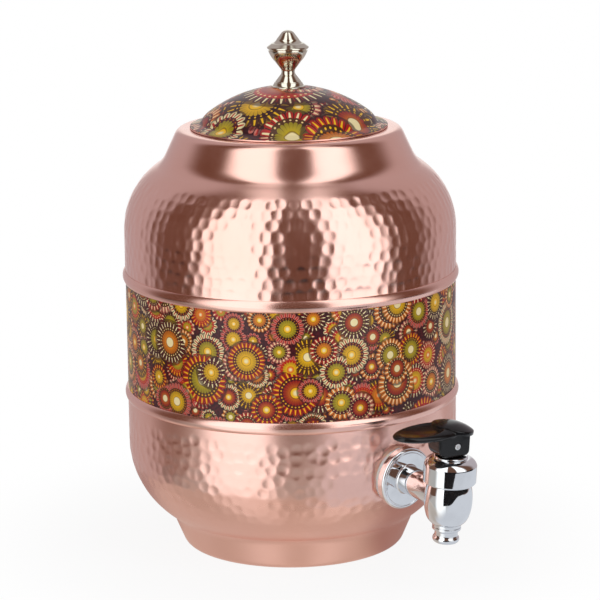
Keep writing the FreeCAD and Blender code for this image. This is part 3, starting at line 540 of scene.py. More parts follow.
def make_print(name, scale):
    """Glossy printed pattern: flowers over a dark ground, and bare copper where it isn't printed."""
    material, nodes, shader = new_material(name, Specular_IOR_Level=0.35)
    sheet = nodes.add("ShaderNodeUVMap", uv_map="sheet").outputs[0]
    speck = nodes.noise(nodes.vector("SCALE", sheet, scale=1.0), 700.0 / scale, 1.0)
    ground = nodes.mix(nodes.ramp(speck, 0.45, 0.6), MAROON, PLUM)
    picture = ground
    for spacing, shift, petals, presence in FLOWER_LAYERS:
        mask, rim, shade = flower(nodes, sheet, spacing * scale, shift, petals, presence)
        picture = nodes.mix(nodes.math("MULTIPLY", rim, 0.75), picture, PLUM)
        picture = nodes.mix(mask, picture, shade)
    bare = nodes.math("GREATER_THAN", nodes.split(sheet)[0], BARE_SHIFT / 2)
    nodes.feed(shader.inputs["Base Color"], nodes.mix(bare, picture, COPPER))
    nodes.feed(shader.inputs["Metallic"], bare)
    haze = nodes.noise(sheet, 45.0, 2.0)
    nodes.feed(shader.inputs["Roughness"], nodes.ramp(haze, 0.3, 0.7, 0.28, 0.35))
    return material


WORN_SHARE = 0.93
LEVER_BLACK = (0.005, 0.005, 0.006)
LEVER_HANDLED = (0.010, 0.010, 0.011)
RUBBER_PALE = (0.78, 0.77, 0.74)
RUBBER_DULL = (0.68, 0.67, 0.64)
STEEL_DARK = (0.56, 0.56, 0.57)
STEEL_PALE = (0.68, 0.68, 0.67)


def make_bright_metal(name, tint, roughness, waviness):
    """Polished plate: nearly a mirror, with a faint cast waviness and hairline wear."""
    material, nodes, shader = new_material(name, Metallic=1.0)
    place = object_place(nodes)
    cloud = nodes.noise(place, 90.0, 2.0)
    dulled = tuple(channel * WORN_SHARE for channel in tint)
    nodes.feed(shader.inputs["Base Color"], nodes.mix(nodes.ramp(cloud, 0.4, 0.75), tint, dulled))
    nodes.feed(shader.inputs["Roughness"], nodes.ramp(cloud, 0.3, 0.7, roughness, roughness * 1.8))
    nodes.feed(shader.inputs["Normal"], nodes.bump(nodes.noise(place, 160.0, 1.0), waviness, 0.0006))
    return material


def make_lever_plastic():
    """Glossy black moulding with faint handling marks."""
    material, nodes, shader = new_material("lever_plastic", Specular_IOR_Level=0.36, IOR=1.5)
    place = object_place(nodes)
    cloud = nodes.noise(place, 220.0, 3.0)
    nodes.feed(shader.inputs["Base Color"], nodes.mix(cloud, LEVER_BLACK, LEVER_HANDLED))
    nodes.feed(shader.inputs["Roughness"], nodes.ramp(cloud, 0.35, 0.7, 0.10, 0.20))
    nodes.feed(shader.inputs["Normal"], nodes.bump(nodes.noise(place, 900.0, 2.0), 0.04, 0.0003))
    return material


def make_silicone():
    """Soft milky rubber."""
    material, nodes, shader = new_material("silicone", Subsurface_Weight=0.25, Subsurface_Scale=0.003)
    cloud = nodes.noise(object_place(nodes), 300.0, 2.0)
    nodes.feed(shader.inputs["Base Color"], nodes.mix(cloud, RUBBER_PALE, RUBBER_DULL))
    nodes.feed(shader.inputs["Roughness"], nodes.ramp(cloud, 0.3, 0.7, 0.38, 0.5))
    return material


def make_steel():
    """Plain steel with brushed lines round it."""
    material, nodes, shader = new_material("steel", Metallic=1.0)
    place = object_place(nodes)
    brushed = nodes.noise(nodes.vector("MULTIPLY", place, (80.0, 80.0, 2200.0)), 1.0, 3.0)
    nodes.feed(shader.inputs["Base Color"], nodes.mix(brushed, STEEL_DARK, STEEL_PALE))
    nodes.feed(shader.inputs["Roughness"], nodes.ramp(brushed, 0.3, 0.7, 0.25, 0.40))
    nodes.feed(shader.inputs["Normal"], nodes.bump(brushed, 0.08, 0.0003))
    return material


COPPER_SMOOTH = make_copper("copper_smooth", 0.20, 0.05)
COPPER_SHOULDER = make_copper("copper_shoulder", 0.19, 0.02)
COPPER_BELLY = make_copper("copper_belly", 0.22, 0.02, foot_haze=0.14)
PRINT_BAND = make_print("print_band", 1.0)
PRINT_LID = make_print("print_lid", 1.9)
CHROME = make_bright_metal("chrome", (0.82, 0.83, 0.85), 0.035, 0.03)
NICKEL = make_bright_metal("nickel", (0.72, 0.69, 0.58), 0.06, 0.03)
PIN_METAL = make_bright_metal("pin_metal", (0.95, 0.95, 0.95), 0.28, 0.02)
LEVER_PLASTIC = make_lever_plastic()
SILICONE = make_silicone()
STEEL = make_steel()


# Vessel

ROW_STEP = 0.95
COARSE_STEP = 6.0

FOOT_RADIUS = 66.6
FOOT_ROUND = 3.6
BELLY_CREASE_ROUND = 2.2
BELLY_ROUND = 54.0
BELLY_CENTRE = (WALL - BELLY_ROUND, 65.4)
BELLY_ANGLE = math.radians(58.0)
SHOULDER_ROUND = 46.8
SHOULDER_CENTRE = (WALL - SHOULDER_ROUND, 195.3)
SHOULDER_ANGLE = math.radians(60.5)
NECK_RIM = 66.9
MOUTH = 55.0
MOUTH_LIP = 5.0
NECK_CREASE_ROUND = 4.6
RIM_ROUND = 3.4

# Hammer marks: rows and pitch, size, and how far each strays from its place
DENT_ROW = 6.7
DENT_PITCH = 7.1
DENT_DEPTH = 0.25
DENT_RADIUS = 3.6
SHALLOWEST_DENT = 0.55
DEEPEST_DENT = 1.35
DENT_SIDE_STRAY = 0.26
DENTS_FROM_SEAM = 6.5
NEAR_DENTS = 4
SKIN_DEPTH = 0.05
BELLY_DENTS_FOOT = 27.0
BELLY_DENTS_FADE = 34.0
SHOULDER_DENTS_TOP = 228.0
BELLY_STRAY = 2.1
SHOULDER_STRAY = 0.9


def strike_places(radius_at, level_at, length, stray, draw):
    """Rows of hammer marks along a profile: where each lands, and how far along its row lies."""
    places = []
    rows = int(length / DENT_ROW)
    for row in range(rows + 1):
        along = row * DENT_ROW
        across = radius_at(along)
        count = round(math.tau * across / DENT_PITCH)
        phase = draw.random()
        for number in range(count):
            angle = (number + phase + draw.uniform(-DENT_SIDE_STRAY, DENT_SIDE_STRAY)) / count * math.tau
            up = level_at(along) + draw.uniform(-stray, stray)
            places.append((across * math.cos(angle), across * math.sin(angle), up, along))
    return places


def hammer(item, profile, low, high, fade, stray, seed):
    """Strikes rows of shallow dents into a spun wall between two levels of its outer profile."""
    draw = random.Random(seed)
    line = np.array([point for point in profile if low - DENT_ROW < point[1] < high + DENT_ROW])
    steps = np.hypot(*np.diff(line, axis=0).T)
    lengths = np.concatenate(([0.0], np.cumsum(steps)))
    start = np.interp(low, line[:, 1], lengths)
    stop = np.interp(high, line[:, 1], lengths)

    def radius_at(along):
        return np.interp(start + along, lengths, line[:, 0])

    def level_at(along):
        return np.interp(start + along, lengths, line[:, 1])

    strikes = strike_places(radius_at, level_at, stop - start, stray, draw)
    depths = []
    for strike in strikes:
        faded = min(1.0, (strike[3] + DENT_ROW) / fade)
        depths.append(DENT_DEPTH * faded * draw.uniform(SHALLOWEST_DENT, DEEPEST_DENT))
    tree = KDTree(len(strikes))
    for index, strike in enumerate(strikes):
        tree.insert(strike[:3], index)
    tree.balance()
    mesh = item.data
    places = np.empty(len(mesh.vertices) * 3, dtype=np.float32)
    mesh.vertices.foreach_get("co", places)
    places = places.reshape(-1, 3) / MM
    across = np.hypot(places[:, 0], places[:, 1])
    on_wall = np.abs(across - np.interp(places[:, 2], line[:, 1], line[:, 0])) < SKIN_DEPTH
    on_wall &= (places[:, 2] > low - DENT_ROW) & (places[:, 2] < high + DENT_ROW)
    lean = np.gradient(line[:, 0], lengths), np.gradient(line[:, 1], lengths)
    out_across = np.interp(places[:, 2], line[:, 1], lean[1])
    out_up = -np.interp(places[:, 2], line[:, 1], lean[0])
    for index in np.flatnonzero(on_wall):
        place = places[index]
        dent = 0.0
        for _, number, away in tree.find_n(place, NEAR_DENTS):
            if away < DENT_RADIUS:
                dent = max(dent, depths[number] * (1 - (away / DENT_RADIUS) ** 2))
        pull = dent * out_across[index] / across[index]
        place[0] -= place[0] * pull
        place[1] -= place[1] * pull
        place[2] -= dent * out_up[index]
    mesh.vertices.foreach_set("co", (places * MM).ravel())
    mesh.update()


def make_belly():
    """Foot, crease, rounded belly and lower wall, with hammer marks above the crease."""
    crease = (BELLY_CENTRE[0] + BELLY_ROUND * math.cos(BELLY_ANGLE),
              BELLY_CENTRE[1] - BELLY_ROUND * math.sin(BELLY_ANGLE))
    lower = trace([(FOOT_RADIUS, 0), crease], 2.0, closed=False)
    wall = [(*crease, BELLY_ROUND), (WALL, BELLY_CENTRE[1]), (WALL, LOWER_SEAM)]
    upper = trace(wall, ROW_STEP, closed=False)
    outer = rounded_at(lower + upper[1:], crease, BELLY_CREASE_ROUND)
    under = [(FOOT_RADIUS - 6, 0), (FOOT_RADIUS - 4, 0)]
    outer = rounded_at(under + outer, (FOOT_RADIUS, 0), FOOT_ROUND)
    inner_round = BELLY_ROUND - SHEET
    inner_crease = (BELLY_CENTRE[0] + inner_round * math.cos(BELLY_ANGLE),
                    BELLY_CENTRE[1] - inner_round * math.sin(BELLY_ANGLE))
    inner = trace([(WALL - SHEET, LOWER_SEAM), (WALL - SHEET, BELLY_CENTRE[1], -inner_round),
                   inner_crease, (FOOT_RADIUS - SHEET * 1.5, SHEET), (0, SHEET)], COARSE_STEP, closed=False)
    floor = [(0, 0), (20, 0), (40, 0)]
    item = mesh_object("belly", spun(floor + outer + inner, SHELL_SEGMENTS))
    top = LOWER_SEAM - DENTS_FROM_SEAM
    hammer(item, outer, BELLY_DENTS_FOOT, top, BELLY_DENTS_FADE, BELLY_STRAY, seed=11)
    drill_tap_hole(item)
    return add_piece(item, "vessel", "copper", COPPER_BELLY, "belly_shell")


def make_shoulder():
    """Upper wall, shoulder, neck, rim and the lip turned down into the mouth."""
    crease = (SHOULDER_CENTRE[0] + SHOULDER_ROUND * math.cos(SHOULDER_ANGLE),
              SHOULDER_CENTRE[1] + SHOULDER_ROUND * math.sin(SHOULDER_ANGLE))
    wall = [(WALL, UPPER_SEAM), (WALL, SHOULDER_CENTRE[1], SHOULDER_ROUND), crease]
    neck = [crease, (NECK_RIM, RIM_LEVEL), (MOUTH, RIM_LEVEL)]
    outer = trace(wall, ROW_STEP, closed=False) + trace(neck, 1.0, closed=False)[1:]
    outer = rounded_at(outer, crease, NECK_CREASE_ROUND)
    outer = rounded_at(outer, (NECK_RIM, RIM_LEVEL), RIM_ROUND)
    inner_round = SHOULDER_ROUND - SHEET
    inner_crease = (SHOULDER_CENTRE[0] + inner_round * math.cos(SHOULDER_ANGLE),
                    SHOULDER_CENTRE[1] + inner_round * math.sin(SHOULDER_ANGLE))
    under = RIM_LEVEL - SHEET
    lip = RIM_LEVEL - MOUTH_LIP
    inner = [(MOUTH, lip), (MOUTH + SHEET, lip), (MOUTH + SHEET, under),
             (NECK_RIM - 2.0, under), (NECK_RIM - 1.2, under - 1.2), inner_crease]
    inside = WALL - SHEET
    inner_wall = [(*inner_crease, -inner_round), (inside, SHOULDER_CENTRE[1]), (inside, UPPER_SEAM)]
    inner += trace(inner_wall, COARSE_STEP, closed=False)[1:]
    item = mesh_object("shoulder", spun(outer + inner, SHELL_SEGMENTS))
    hammer(item, outer, UPPER_SEAM + DENTS_FROM_SEAM, SHOULDER_DENTS_TOP, DENT_ROW, SHOULDER_STRAY, seed=23)
    return add_piece(item, "vessel", "copper", COPPER_SHOULDER, "shoulder_shell")


def drill_tap_hole(item):
    """Opens the hole for the tap's tail through the wall."""
    hole = TAIL_RADIUS + 0.2
    length = 30.0
    start = WALL_PLACE - OUTWARD * length / 2 * MM
    drill = spun([(0, 0), (hole, 0), (hole, length), (0, length)], BORE_SEGMENTS)
    cut_or_join(item, mesh_object("tap_hole", drill, frame_along(start, OUTWARD)), "DIFFERENCE")


def make_barrel():
    """The tube behind the printed band."""
    outside = reach("barrel_shell")
    inside = outside - SHEET
    foot, top = level("barrel_shell", 0), level("barrel_shell", 1)
    outline = [(inside, foot), (outside, foot), (outside, top), (inside, top)]
    bm = spun(blunted(outline, 0.2), BARREL_SEGMENTS)
    return add_piece(mesh_object("barrel", bm), "vessel", "copper", COPPER_SMOOTH, "barrel_shell")


def make_band():
    """The printed sheet, with the pattern laid on its unrolled face."""
    inner = reach("barrel_shell") + FIT_GAP
    outline = trace([(inner, BAND_FOOT), (BAND, BAND_FOOT), (BAND, BAND_TOP), (inner, BAND_TOP)])
    item = mesh_object("band_sheet", spun(blunted(outline, 0.15), HOOP_SEGMENTS))

    def unrolled(place):
        return math.atan2(place.x, -place.y) * BAND * MM, place.z

    lay_pattern(item.data, unrolled, BAND * math.tau * MM)
    return add_piece(item, "vessel", "print", PRINT_BAND, "printed_band")


def lay_pattern(mesh, flatten, around=None, bare=None):
    """Writes a UV map in metres; bare faces are moved aside, and a full turn's seam is closed."""
    layer = mesh.uv_layers.new(name="sheet")
    for face in mesh.polygons:
        places = [flatten(mesh.vertices[index].co) for index in face.vertices]
        if bare and bare(face):
            places = [(u + BARE_SHIFT, v) for u, v in places]
        if around:
            first = places[0][0]
            places = [(u - around * round((u - first) / around), v) for u, v in places]
        for loop, place in zip(face.loop_indices, places):
            layer.data[loop].uv = place


def make_bead(name, node, seam, shell_side):
    """A half-round hoop over a seam, with its edges pressed to the sheet."""
    half = BEAD_HEIGHT / 2 * shell_side
    edge = WALL + 0.2
    rise = BEAD - edge
    bead_round = (half ** 2 + rise ** 2) / (2 * rise)
    step = seam - FIT_GAP * shell_side
    on_shell = WALL + HOOP_GAP
    on_barrel = reach("barrel_shell") + HOOP_GAP
    outline = trace([
        (edge, seam - half, bead_round * shell_side),
        (edge, seam + half),
        (on_shell, seam + half),
        (on_shell, step),
        (on_barrel, step),
        (on_barrel, seam - half),
    ])
    bm = spun(blunted(outline, 0.25), HOOP_SEGMENTS)
    return add_piece(mesh_object(name, bm), "vessel", "copper", COPPER_SMOOTH, node)


# Lid and finial

DOME_ROUND = 81.4
DOME_EDGE = 51.0
DOME_FOOT = (52.6, 259.8)
BRIM_TOP = 257.6
STUD_HOLE = 2.6
PRINTED_SLOPE = 0.3


def make_lid():
    """Domed sheet with a narrow brim, printed all over its upper face."""
    centre = DOME_TOP - DOME_ROUND
    edge_level = centre + math.sqrt(DOME_ROUND ** 2 - DOME_EDGE ** 2)
    crown = centre + math.sqrt(DOME_ROUND ** 2 - STUD_HOLE ** 2)
    outer = trace([(BRIM, BRIM_FOOT), (BRIM, BRIM_TOP), DOME_FOOT, (DOME_EDGE, edge_level, DOME_ROUND),
                   (STUD_HOLE, crown)], 1.6, closed=False)
    outer = rounded_at(outer, (DOME_EDGE, edge_level), 2.0)
    outer = rounded_at(outer, DOME_FOOT, 1.2)
    inner_round = DOME_ROUND - SHEET
    inner_edge = DOME_EDGE - 0.7
    inner_level = centre + math.sqrt(inner_round ** 2 - inner_edge ** 2)
    inner_crown = centre + math.sqrt(inner_round ** 2 - STUD_HOLE ** 2)
    inner = trace([(STUD_HOLE, inner_crown, -inner_round),
                   (inner_edge, inner_level), (DOME_FOOT[0] - 0.6, DOME_FOOT[1] - SHEET),
                   (BRIM - SHEET, BRIM_TOP - SHEET), (BRIM - SHEET, BRIM_FOOT)], 3.0, closed=False)
    item = mesh_object("lid", spun(blunted(outer + inner, 0.2, sharp=40), HOOP_SEGMENTS))

    def flattened(place):
        """The dome laid flat from its top outwards."""
        across = math.hypot(place.x, place.y)
        sweep = math.asin(min(across / (DOME_ROUND * MM), 0.999)) * DOME_ROUND * MM
        share = sweep / across if across > 1e-9 else 1.0
        return place.x * share, place.y * share

    lay_pattern(item.data, flattened, bare=lambda face: face.normal.z < PRINTED_SLOPE)
    return add_piece(item, "lid", "print", PRINT_LID, "lid_dome")


def make_collar():
    """The ring under the lid that drops into the mouth."""
    inner = COLLAR - SHEET
    top = level("lid_collar", 1)
    outline = [(inner, COLLAR_FOOT), (COLLAR, COLLAR_FOOT), (COLLAR, top - 0.3), (inner, top)]
    bm = spun(blunted(outline, 0.2), COLLAR_SEGMENTS)
    return add_piece(mesh_object("lid_collar_ring", bm), "lid", "copper", COPPER_SMOOTH, "lid_collar")


def make_finial():
    """Turned knob: bell base, narrow neck, cup, groove, thin rim and pointed cap."""
    base, bell, bell_step, neck = 10.2, 8.2, 7.7, 4.86
    cup_foot, cup_top, groove, rim = 8.0, 11.9, 11.1, 12.09
    cap_shoulder, cap_middle, cap_tip = 9.6, 6.5, 3.5

    def up(height):
        return DOME_TOP + height

    outline = trace([
        (0, up(-0.2)),
        (base, up(-0.6)),
        (base, up(-0.2), 1.0),
        (base - 0.9, up(0.3), -9.0),
        (bell, up(2.3)),
        (bell_step, up(2.3)),
        (bell_step, up(2.7)),
        (neck, up(6.4), -3.0),
        (neck, up(10.6)),
        (cup_foot, up(14.7), 16.9),
        (cup_top, up(21.4)),
        (groove, up(21.4)),
        (groove, up(22.3)),
        (rim, up(22.3), 0.8),
        (rim, up(23.7)),
        (cap_shoulder, up(25.5), -5.0),
        (cap_middle, up(28.1)),
        (cap_tip, FINIAL_TIP - 1.3, 5.4),
        (0, FINIAL_TIP),
    ], 0.35, closed=False)
    bm = spun(blunted(outline, 0.18, closed=False), TURNED_SEGMENTS, closed=False)
    return add_piece(mesh_object("finial_knob", bm), "lid", "nickel", NICKEL, "finial")


# Tap: the shank's heights run outward from the wall, the valve's are above the shank's centre line

SHANK_FRAME = frame_along(WALL_PLACE, OUTWARD)
VALVE_FRAME = frame_along(VALVE_PLACE, VALVE_UP)
TAIL = 18.0
TAIL_RADIUS = 8.0
THREAD_ROOT = 7.5
THREAD_TURNS = 12
THREAD_PITCH = 1.0
FLANGE = 18.6
FLANGE_BACK = 2.0
FLANGE_FACE = 7.0
FLANGE_ROUND = 1.6
FLANGE_LINE = (16.0, 16.8)
FLANGE_LINE_DEPTH = 0.5
SHANK = 8.3
SHANK_FILLET = 1.2
WATERWAY = 5.0
CUP_FOOT = -15.2
CUP_TOP = 16.0
CUP_BORE = 9.6
BULB = 14.0
OUTLET = 4.5
SPOUT_NECK = 6.0
SPOUT_END = -26.5
BONNET = 15.4
BONNET_FOOT = 9.9
BONNET_TOP = 26.5
COLLAR_RADIUS = 9.8
CUP_LIP = 13.2


def make_tap_body():
    """Threaded tail, flange and shank, joined to the valve cup and hollowed as the real casting."""
    thread = []
    for turn in range(THREAD_TURNS):
        start = -TAIL + THREAD_PITCH * (1 + turn)
        thread += [(TAIL_RADIUS, start), (THREAD_ROOT, start + THREAD_PITCH / 2)]
    line_inside, line_outside = FLANGE_LINE
    line_floor = FLANGE_FACE - FLANGE_LINE_DEPTH
    shank = trace([
        (0, -TAIL),
        (THREAD_ROOT, -TAIL),
        *thread,
        (TAIL_RADIUS, -TAIL + THREAD_PITCH * (THREAD_TURNS + 1)),
        (TAIL_RADIUS, FLANGE_BACK),
        (FLANGE, FLANGE_BACK),
        (FLANGE, FLANGE_FACE - FLANGE_ROUND, FLANGE_ROUND),
        (FLANGE - FLANGE_ROUND, FLANGE_FACE),
        (line_outside, FLANGE_FACE),
        (line_outside, line_floor),
        (line_inside, line_floor),
        (line_inside, FLANGE_FACE),
        (SHANK + SHANK_FILLET, FLANGE_FACE, -SHANK_FILLET),
        (SHANK, FLANGE_FACE + SHANK_FILLET),
        (SHANK, SHANK_REACH),
        (0, SHANK_REACH),
    ], closed=False)
    shank_skin = spun(blunted(shank, 0.2, sharp=50, closed=False), CASTING_SEGMENTS, closed=False)
    body = mesh_object("tap_casting", shank_skin, SHANK_FRAME)
    cup = trace([
        (0, CUP_FOOT),
        (8.8, CUP_FOOT, 9.0),
        (12.5, -10.4, 30.2),
        (BULB, -1.0, 40.8),
        (12.7, BONNET_FOOT - 0.5),
        (CUP_LIP, BONNET_FOOT),
        (CUP_LIP, CUP_TOP),
        (0, CUP_TOP),
    ], 0.6, closed=False)
    cup_skin = spun(blunted(cup, 0.25, closed=False), CASTING_SEGMENTS, closed=False)
    cut_or_join(body, mesh_object("cup", cup_skin, VALVE_FRAME), "UNION")
    cavity = trace([
        (0, CUP_FOOT - 1),
        (SPOUT_NECK + 0.05, CUP_FOOT - 1),
        (SPOUT_NECK + 0.05, -11.1),
        (OUTLET, -11.1),
        (OUTLET, -7.5),
        (6.0, -7.5),
        (6.0, -9.0),
        (CUP_BORE, -9.0),
        (CUP_BORE, CUP_TOP + 1),
        (0, CUP_TOP + 1),
    ], closed=False)
    cavity_skin = spun(cavity, CAVITY_SEGMENTS, closed=False)
    cut_or_join(body, mesh_object("cavity", cavity_skin, VALVE_FRAME), "DIFFERENCE")
    bore_end = SHANK_REACH - 4.8
    bore = spun([(0, -TAIL - 1), (WATERWAY, -TAIL - 1), (WATERWAY, bore_end), (0, bore_end)],
                BORE_SEGMENTS, closed=False)
    cut_or_join(body, mesh_object("bore", bore, SHANK_FRAME), "DIFFERENCE")
    return add_piece(body, "vessel", "chrome", CHROME, "tap_body")


def make_spout():
    """Spout tip: flared lip, waist and two rings under the cup."""
    ring, ring_gap, waist, lip = 8.4, 7.8, 6.75, 7.8
    outline = trace([
        (OUTLET, SPOUT_END),
        (7.0, SPOUT_END, 2.2),
        (lip, SPOUT_END + 2.0, 2.2),
        (7.3, -23.3, -2.2),
        (waist, -22.1),
        (waist, -19.9, -1.4),
        (8.0, -19.05),
        (ring, -18.65),
        (ring, -17.35),
        (ring_gap, -17.35),
        (ring_gap, -16.85),
        (ring, -16.85),
        (ring, -15.25),
        (SPOUT_NECK, -15.25),
        (SPOUT_NECK, -11.25),
        (OUTLET, -11.25),
    ], 0.4)
    bm = spun(blunted(outline, 0.15, sharp=35), TURNED_SEGMENTS)
    return add_piece(mesh_object("spout", bm, VALVE_FRAME), "vessel", "chrome", CHROME, "spout_tip")


def make_bonnet():
    """Domed nut on the cup, with the collar that the stem slides in."""
    skirt_bore, stem_bore, ring_bore, room = CUP_LIP + 0.05, 3.55, 5.1, 9.7
    outline = trace([
        (skirt_bore, BONNET_FOOT),
        (BONNET - 0.8, BONNET_FOOT),
        (BONNET, BONNET_FOOT + 0.8),
        (BONNET, 20.8, 6.0),
        (COLLAR_RADIUS, 25.0),
        (COLLAR_RADIUS, BONNET_TOP - 0.4),
        (COLLAR_RADIUS - 0.4, BONNET_TOP),
        (stem_bore, BONNET_TOP),
        (stem_bore, 24.1),
        (ring_bore, 24.1),
        (ring_bore, 22.5),
        (room, 22.5),
        (room, 17.1),
        (skirt_bore, 17.1),
    ], 0.4)
    bm = spun(blunted(outline, 0.3, sharp=35), CASTING_SEGMENTS)
    return add_piece(mesh_object("bonnet_nut", bm, VALVE_FRAME), "vessel", "chrome", CHROME, "bonnet")


# Lever: x runs along the handle, heights are above the shank's centre line

LEVER_ANGLE = math.radians(174.3)
LEVER_FRAME = VALVE_FRAME @ Matrix.Rotation(LEVER_ANGLE, 4, "Z")
LEVER_WIDTH = 12.3
LEVER_BACK = -8.8
LEVER_FRONT = 12.8
LEVER_FOOT = 26.75
NOSE_ROUND = 6.8
HEEL_ROUND = 3.0
CHEEK_ROUND = 0.9
CAP_RADIUS = 12.3
CAP_LEVEL = 43.0
CAP_TILT = math.radians(11)
CAP_DROP = 1.7
CAP_RISE = 0.8
CAP_CROWN = 3.1
HANDLE_REACH = 40.8
HANDLE_ROOT = 10.2
HANDLE_HALF_WIDTH = 12.0
HANDLE_HALF_THICK = 3.9
HANDLE_LEVEL = 42.3
DISH_START = 8.0
DISH_OVERRUN = 2.0
DISH_HALF_WIDTH = 12.6
DISH_DEPTH = 3.0
SLOT_BACK = 5.3
SLOT_FRONT = 6.7
SLOT_WIDTH = 7.4
SLOT_TOP = 38.3
SLOT_OVERRUN = 1.0
MELT_GRAIN = 0.34
MELT_PASSES = 5
PIN_LEVEL = 32.9
PIN_RADIUS = 2.0
PIN_FIT = 0.06
PIN_RIM = 0.25
PIN_RECESS = 0.9
PIN_RECESS_FLOOR = 0.75
PIN_RECESS_DEPTH = 1.4


def lever_block():
    """The block between the cheeks, with the rounded nose and heel."""
    side = trace([
        (LEVER_BACK + HEEL_ROUND, LEVER_FOOT),
        (LEVER_FRONT - NOSE_ROUND, LEVER_FOOT, NOSE_ROUND),
        (LEVER_FRONT, LEVER_FOOT + NOSE_ROUND),
        (LEVER_FRONT, CAP_LEVEL),
        (LEVER_BACK, CAP_LEVEL),
        (LEVER_BACK, LEVER_FOOT + HEEL_ROUND, HEEL_ROUND),
    ], 0.8)
    bm = bmesh.new()
    verts = [bm.verts.new((across * MM, -LEVER_WIDTH / 2 * MM, up * MM)) for across, up in side]
    face = bm.faces.new(verts)
    grown = bmesh.ops.extrude_face_region(bm, geom=[face])
    moved = [item for item in grown["geom"] if isinstance(item, bmesh.types.BMVert)]
    bmesh.ops.translate(bm, vec=(0, LEVER_WIDTH * MM, 0), verts=moved)
    bmesh.ops.recalc_face_normals(bm, faces=bm.faces)
    sides = [edge for edge in bm.edges if abs(edge.verts[0].co.y - edge.verts[1].co.y) < 1e-9]
    bmesh.ops.bevel(bm, geom=sides, offset=CHEEK_ROUND * MM, affect="EDGES", segments=3,
                    profile=0.5, material=-1)
    return bm


def lever_cap():
    """A crowned disc over the block, leaning down towards the back."""
    crown_round = (CAP_RADIUS ** 2 + CAP_CROWN ** 2) / (2 * CAP_CROWN)
    outline = trace([(0, -CAP_DROP), (CAP_RADIUS, -CAP_DROP), (CAP_RADIUS, CAP_RISE, crown_round),
                     (0, CAP_RISE + CAP_CROWN)], 0.7, closed=False)
    lean = Matrix.Translation((0, 0, CAP_LEVEL * MM)) @ Matrix.Rotation(-CAP_TILT, 4, "Y")
    return mesh_object("cap", spun(blunted(outline, 0.8, closed=False), TURNED_SEGMENTS, closed=False), lean)


def squashed_ball(name, half_length, half_width, half_thick, centre, up):
    """A ball pressed to three half sizes."""
    bm = bmesh.new()
    bmesh.ops.create_uvsphere(bm, u_segments=TURNED_SEGMENTS, v_segments=TURNED_SEGMENTS // 2, radius=MM)
    bmesh.ops.scale(bm, vec=(half_length, half_width, half_thick), verts=bm.verts)
    bmesh.ops.translate(bm, vec=(centre * MM, 0, up * MM), verts=bm.verts)
    return mesh_object(name, bm)


def lever_handle():
    """Broad leaf with a shallow dish for the thumb and a rolled rim."""
    half_length = (HANDLE_REACH + HANDLE_ROOT) / 2
    leaf = squashed_ball("handle", half_length, HANDLE_HALF_WIDTH, HANDLE_HALF_THICK,
                         HANDLE_REACH - half_length, HANDLE_LEVEL)
    half_dish = (HANDLE_REACH + DISH_OVERRUN - DISH_START) / 2
    dish = squashed_ball("dish", half_dish, DISH_HALF_WIDTH, DISH_DEPTH,
                         DISH_START + half_dish, HANDLE_LEVEL + HANDLE_HALF_THICK)
    cut_or_join(leaf, dish, "DIFFERENCE")
    return leaf


def make_lever():
    """Block, leaning crowned cap and dished handle, melted into one moulding."""
    whole = mesh_object("lever_moulding", lever_block())
    cut_or_join(whole, lever_cap(), "UNION")
    cut_or_join(whole, lever_handle(), "UNION")
    melt = whole.modifiers.new("melt", "REMESH")
    melt.mode = "VOXEL"
    melt.voxel_size = MELT_GRAIN * MM
    bake_modifiers(whole)
    smooth = bmesh.new()
    smooth.from_mesh(whole.data)
    for _ in range(MELT_PASSES):
        bmesh.ops.smooth_vert(smooth, verts=smooth.verts, factor=0.5,
                              use_axis_x=True, use_axis_y=True, use_axis_z=True)
    smooth.to_mesh(whole.data)
    smooth.free()
    slot = bmesh.new()
    bmesh.ops.create_cube(slot, size=MM)
    slot_height = SLOT_TOP - LEVER_FOOT + SLOT_OVERRUN
    bmesh.ops.scale(slot, vec=(SLOT_BACK + SLOT_FRONT, SLOT_WIDTH, slot_height), verts=slot.verts)
    bmesh.ops.translate(slot, vec=((SLOT_FRONT - SLOT_BACK) / 2 * MM, 0, (SLOT_TOP - slot_height / 2) * MM),
                        verts=slot.verts)
    cut_or_join(whole, mesh_object("slot", slot), "DIFFERENCE")
    across = Matrix.Translation((0, 0, PIN_LEVEL * MM)) @ Matrix.Rotation(math.radians(90), 4, "X")
    hole = PIN_RADIUS + PIN_FIT
    bore = spun([(0, -LEVER_WIDTH), (hole, -LEVER_WIDTH), (hole, LEVER_WIDTH), (0, LEVER_WIDTH)],
                BORE_SEGMENTS, closed=False)
    cut_or_join(whole, mesh_object("pin_bore", bore, across), "DIFFERENCE")
    whole.data.transform(LEVER_FRAME)
    return add_piece(whole, "lever", "lever_plastic", LEVER_PLASTIC, "lever")


def make_pin():
    """The pivot pin, with a riveted rim and a round recess in each end."""
    half = LEVER_WIDTH / 2
    floor = half - PIN_RECESS_DEPTH
    end = [(0, floor), (PIN_RECESS_FLOOR, floor), (PIN_RECESS, half), (PIN_RADIUS - PIN_RIM, half),
           (PIN_RADIUS, half - PIN_RIM)]
    outline = [(across, -up) for across, up in end] + end[::-1]
    bm = spun(outline, BORE_SEGMENTS, closed=False)
    place = frame_along(PIN_PLACE, PIN_AXIS)
    return add_piece(mesh_object("pivot_pin", bm, place), "stem", "chrome", PIN_METAL, "lever_pin")


def dress_kept_nodes():
    """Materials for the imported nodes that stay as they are."""
    finishes = {
        "valve_stem": CHROME, "outer_washer": SILICONE, "inner_washer": SILICONE, "bonnet_gasket": SILICONE,
        "stem_oring": SILICONE, "seat_seal": SILICONE, "tail_nut": STEEL, "spring_washer": STEEL,
        "return_spring": STEEL, "finial_stud": STEEL, "finial_washer": STEEL, "finial_nut": STEEL,
    }
    for name, material in finishes.items():
        mesh = frame["nodes"][name].data
        mesh.materials.clear()
        mesh.materials.append(material)


# Studio

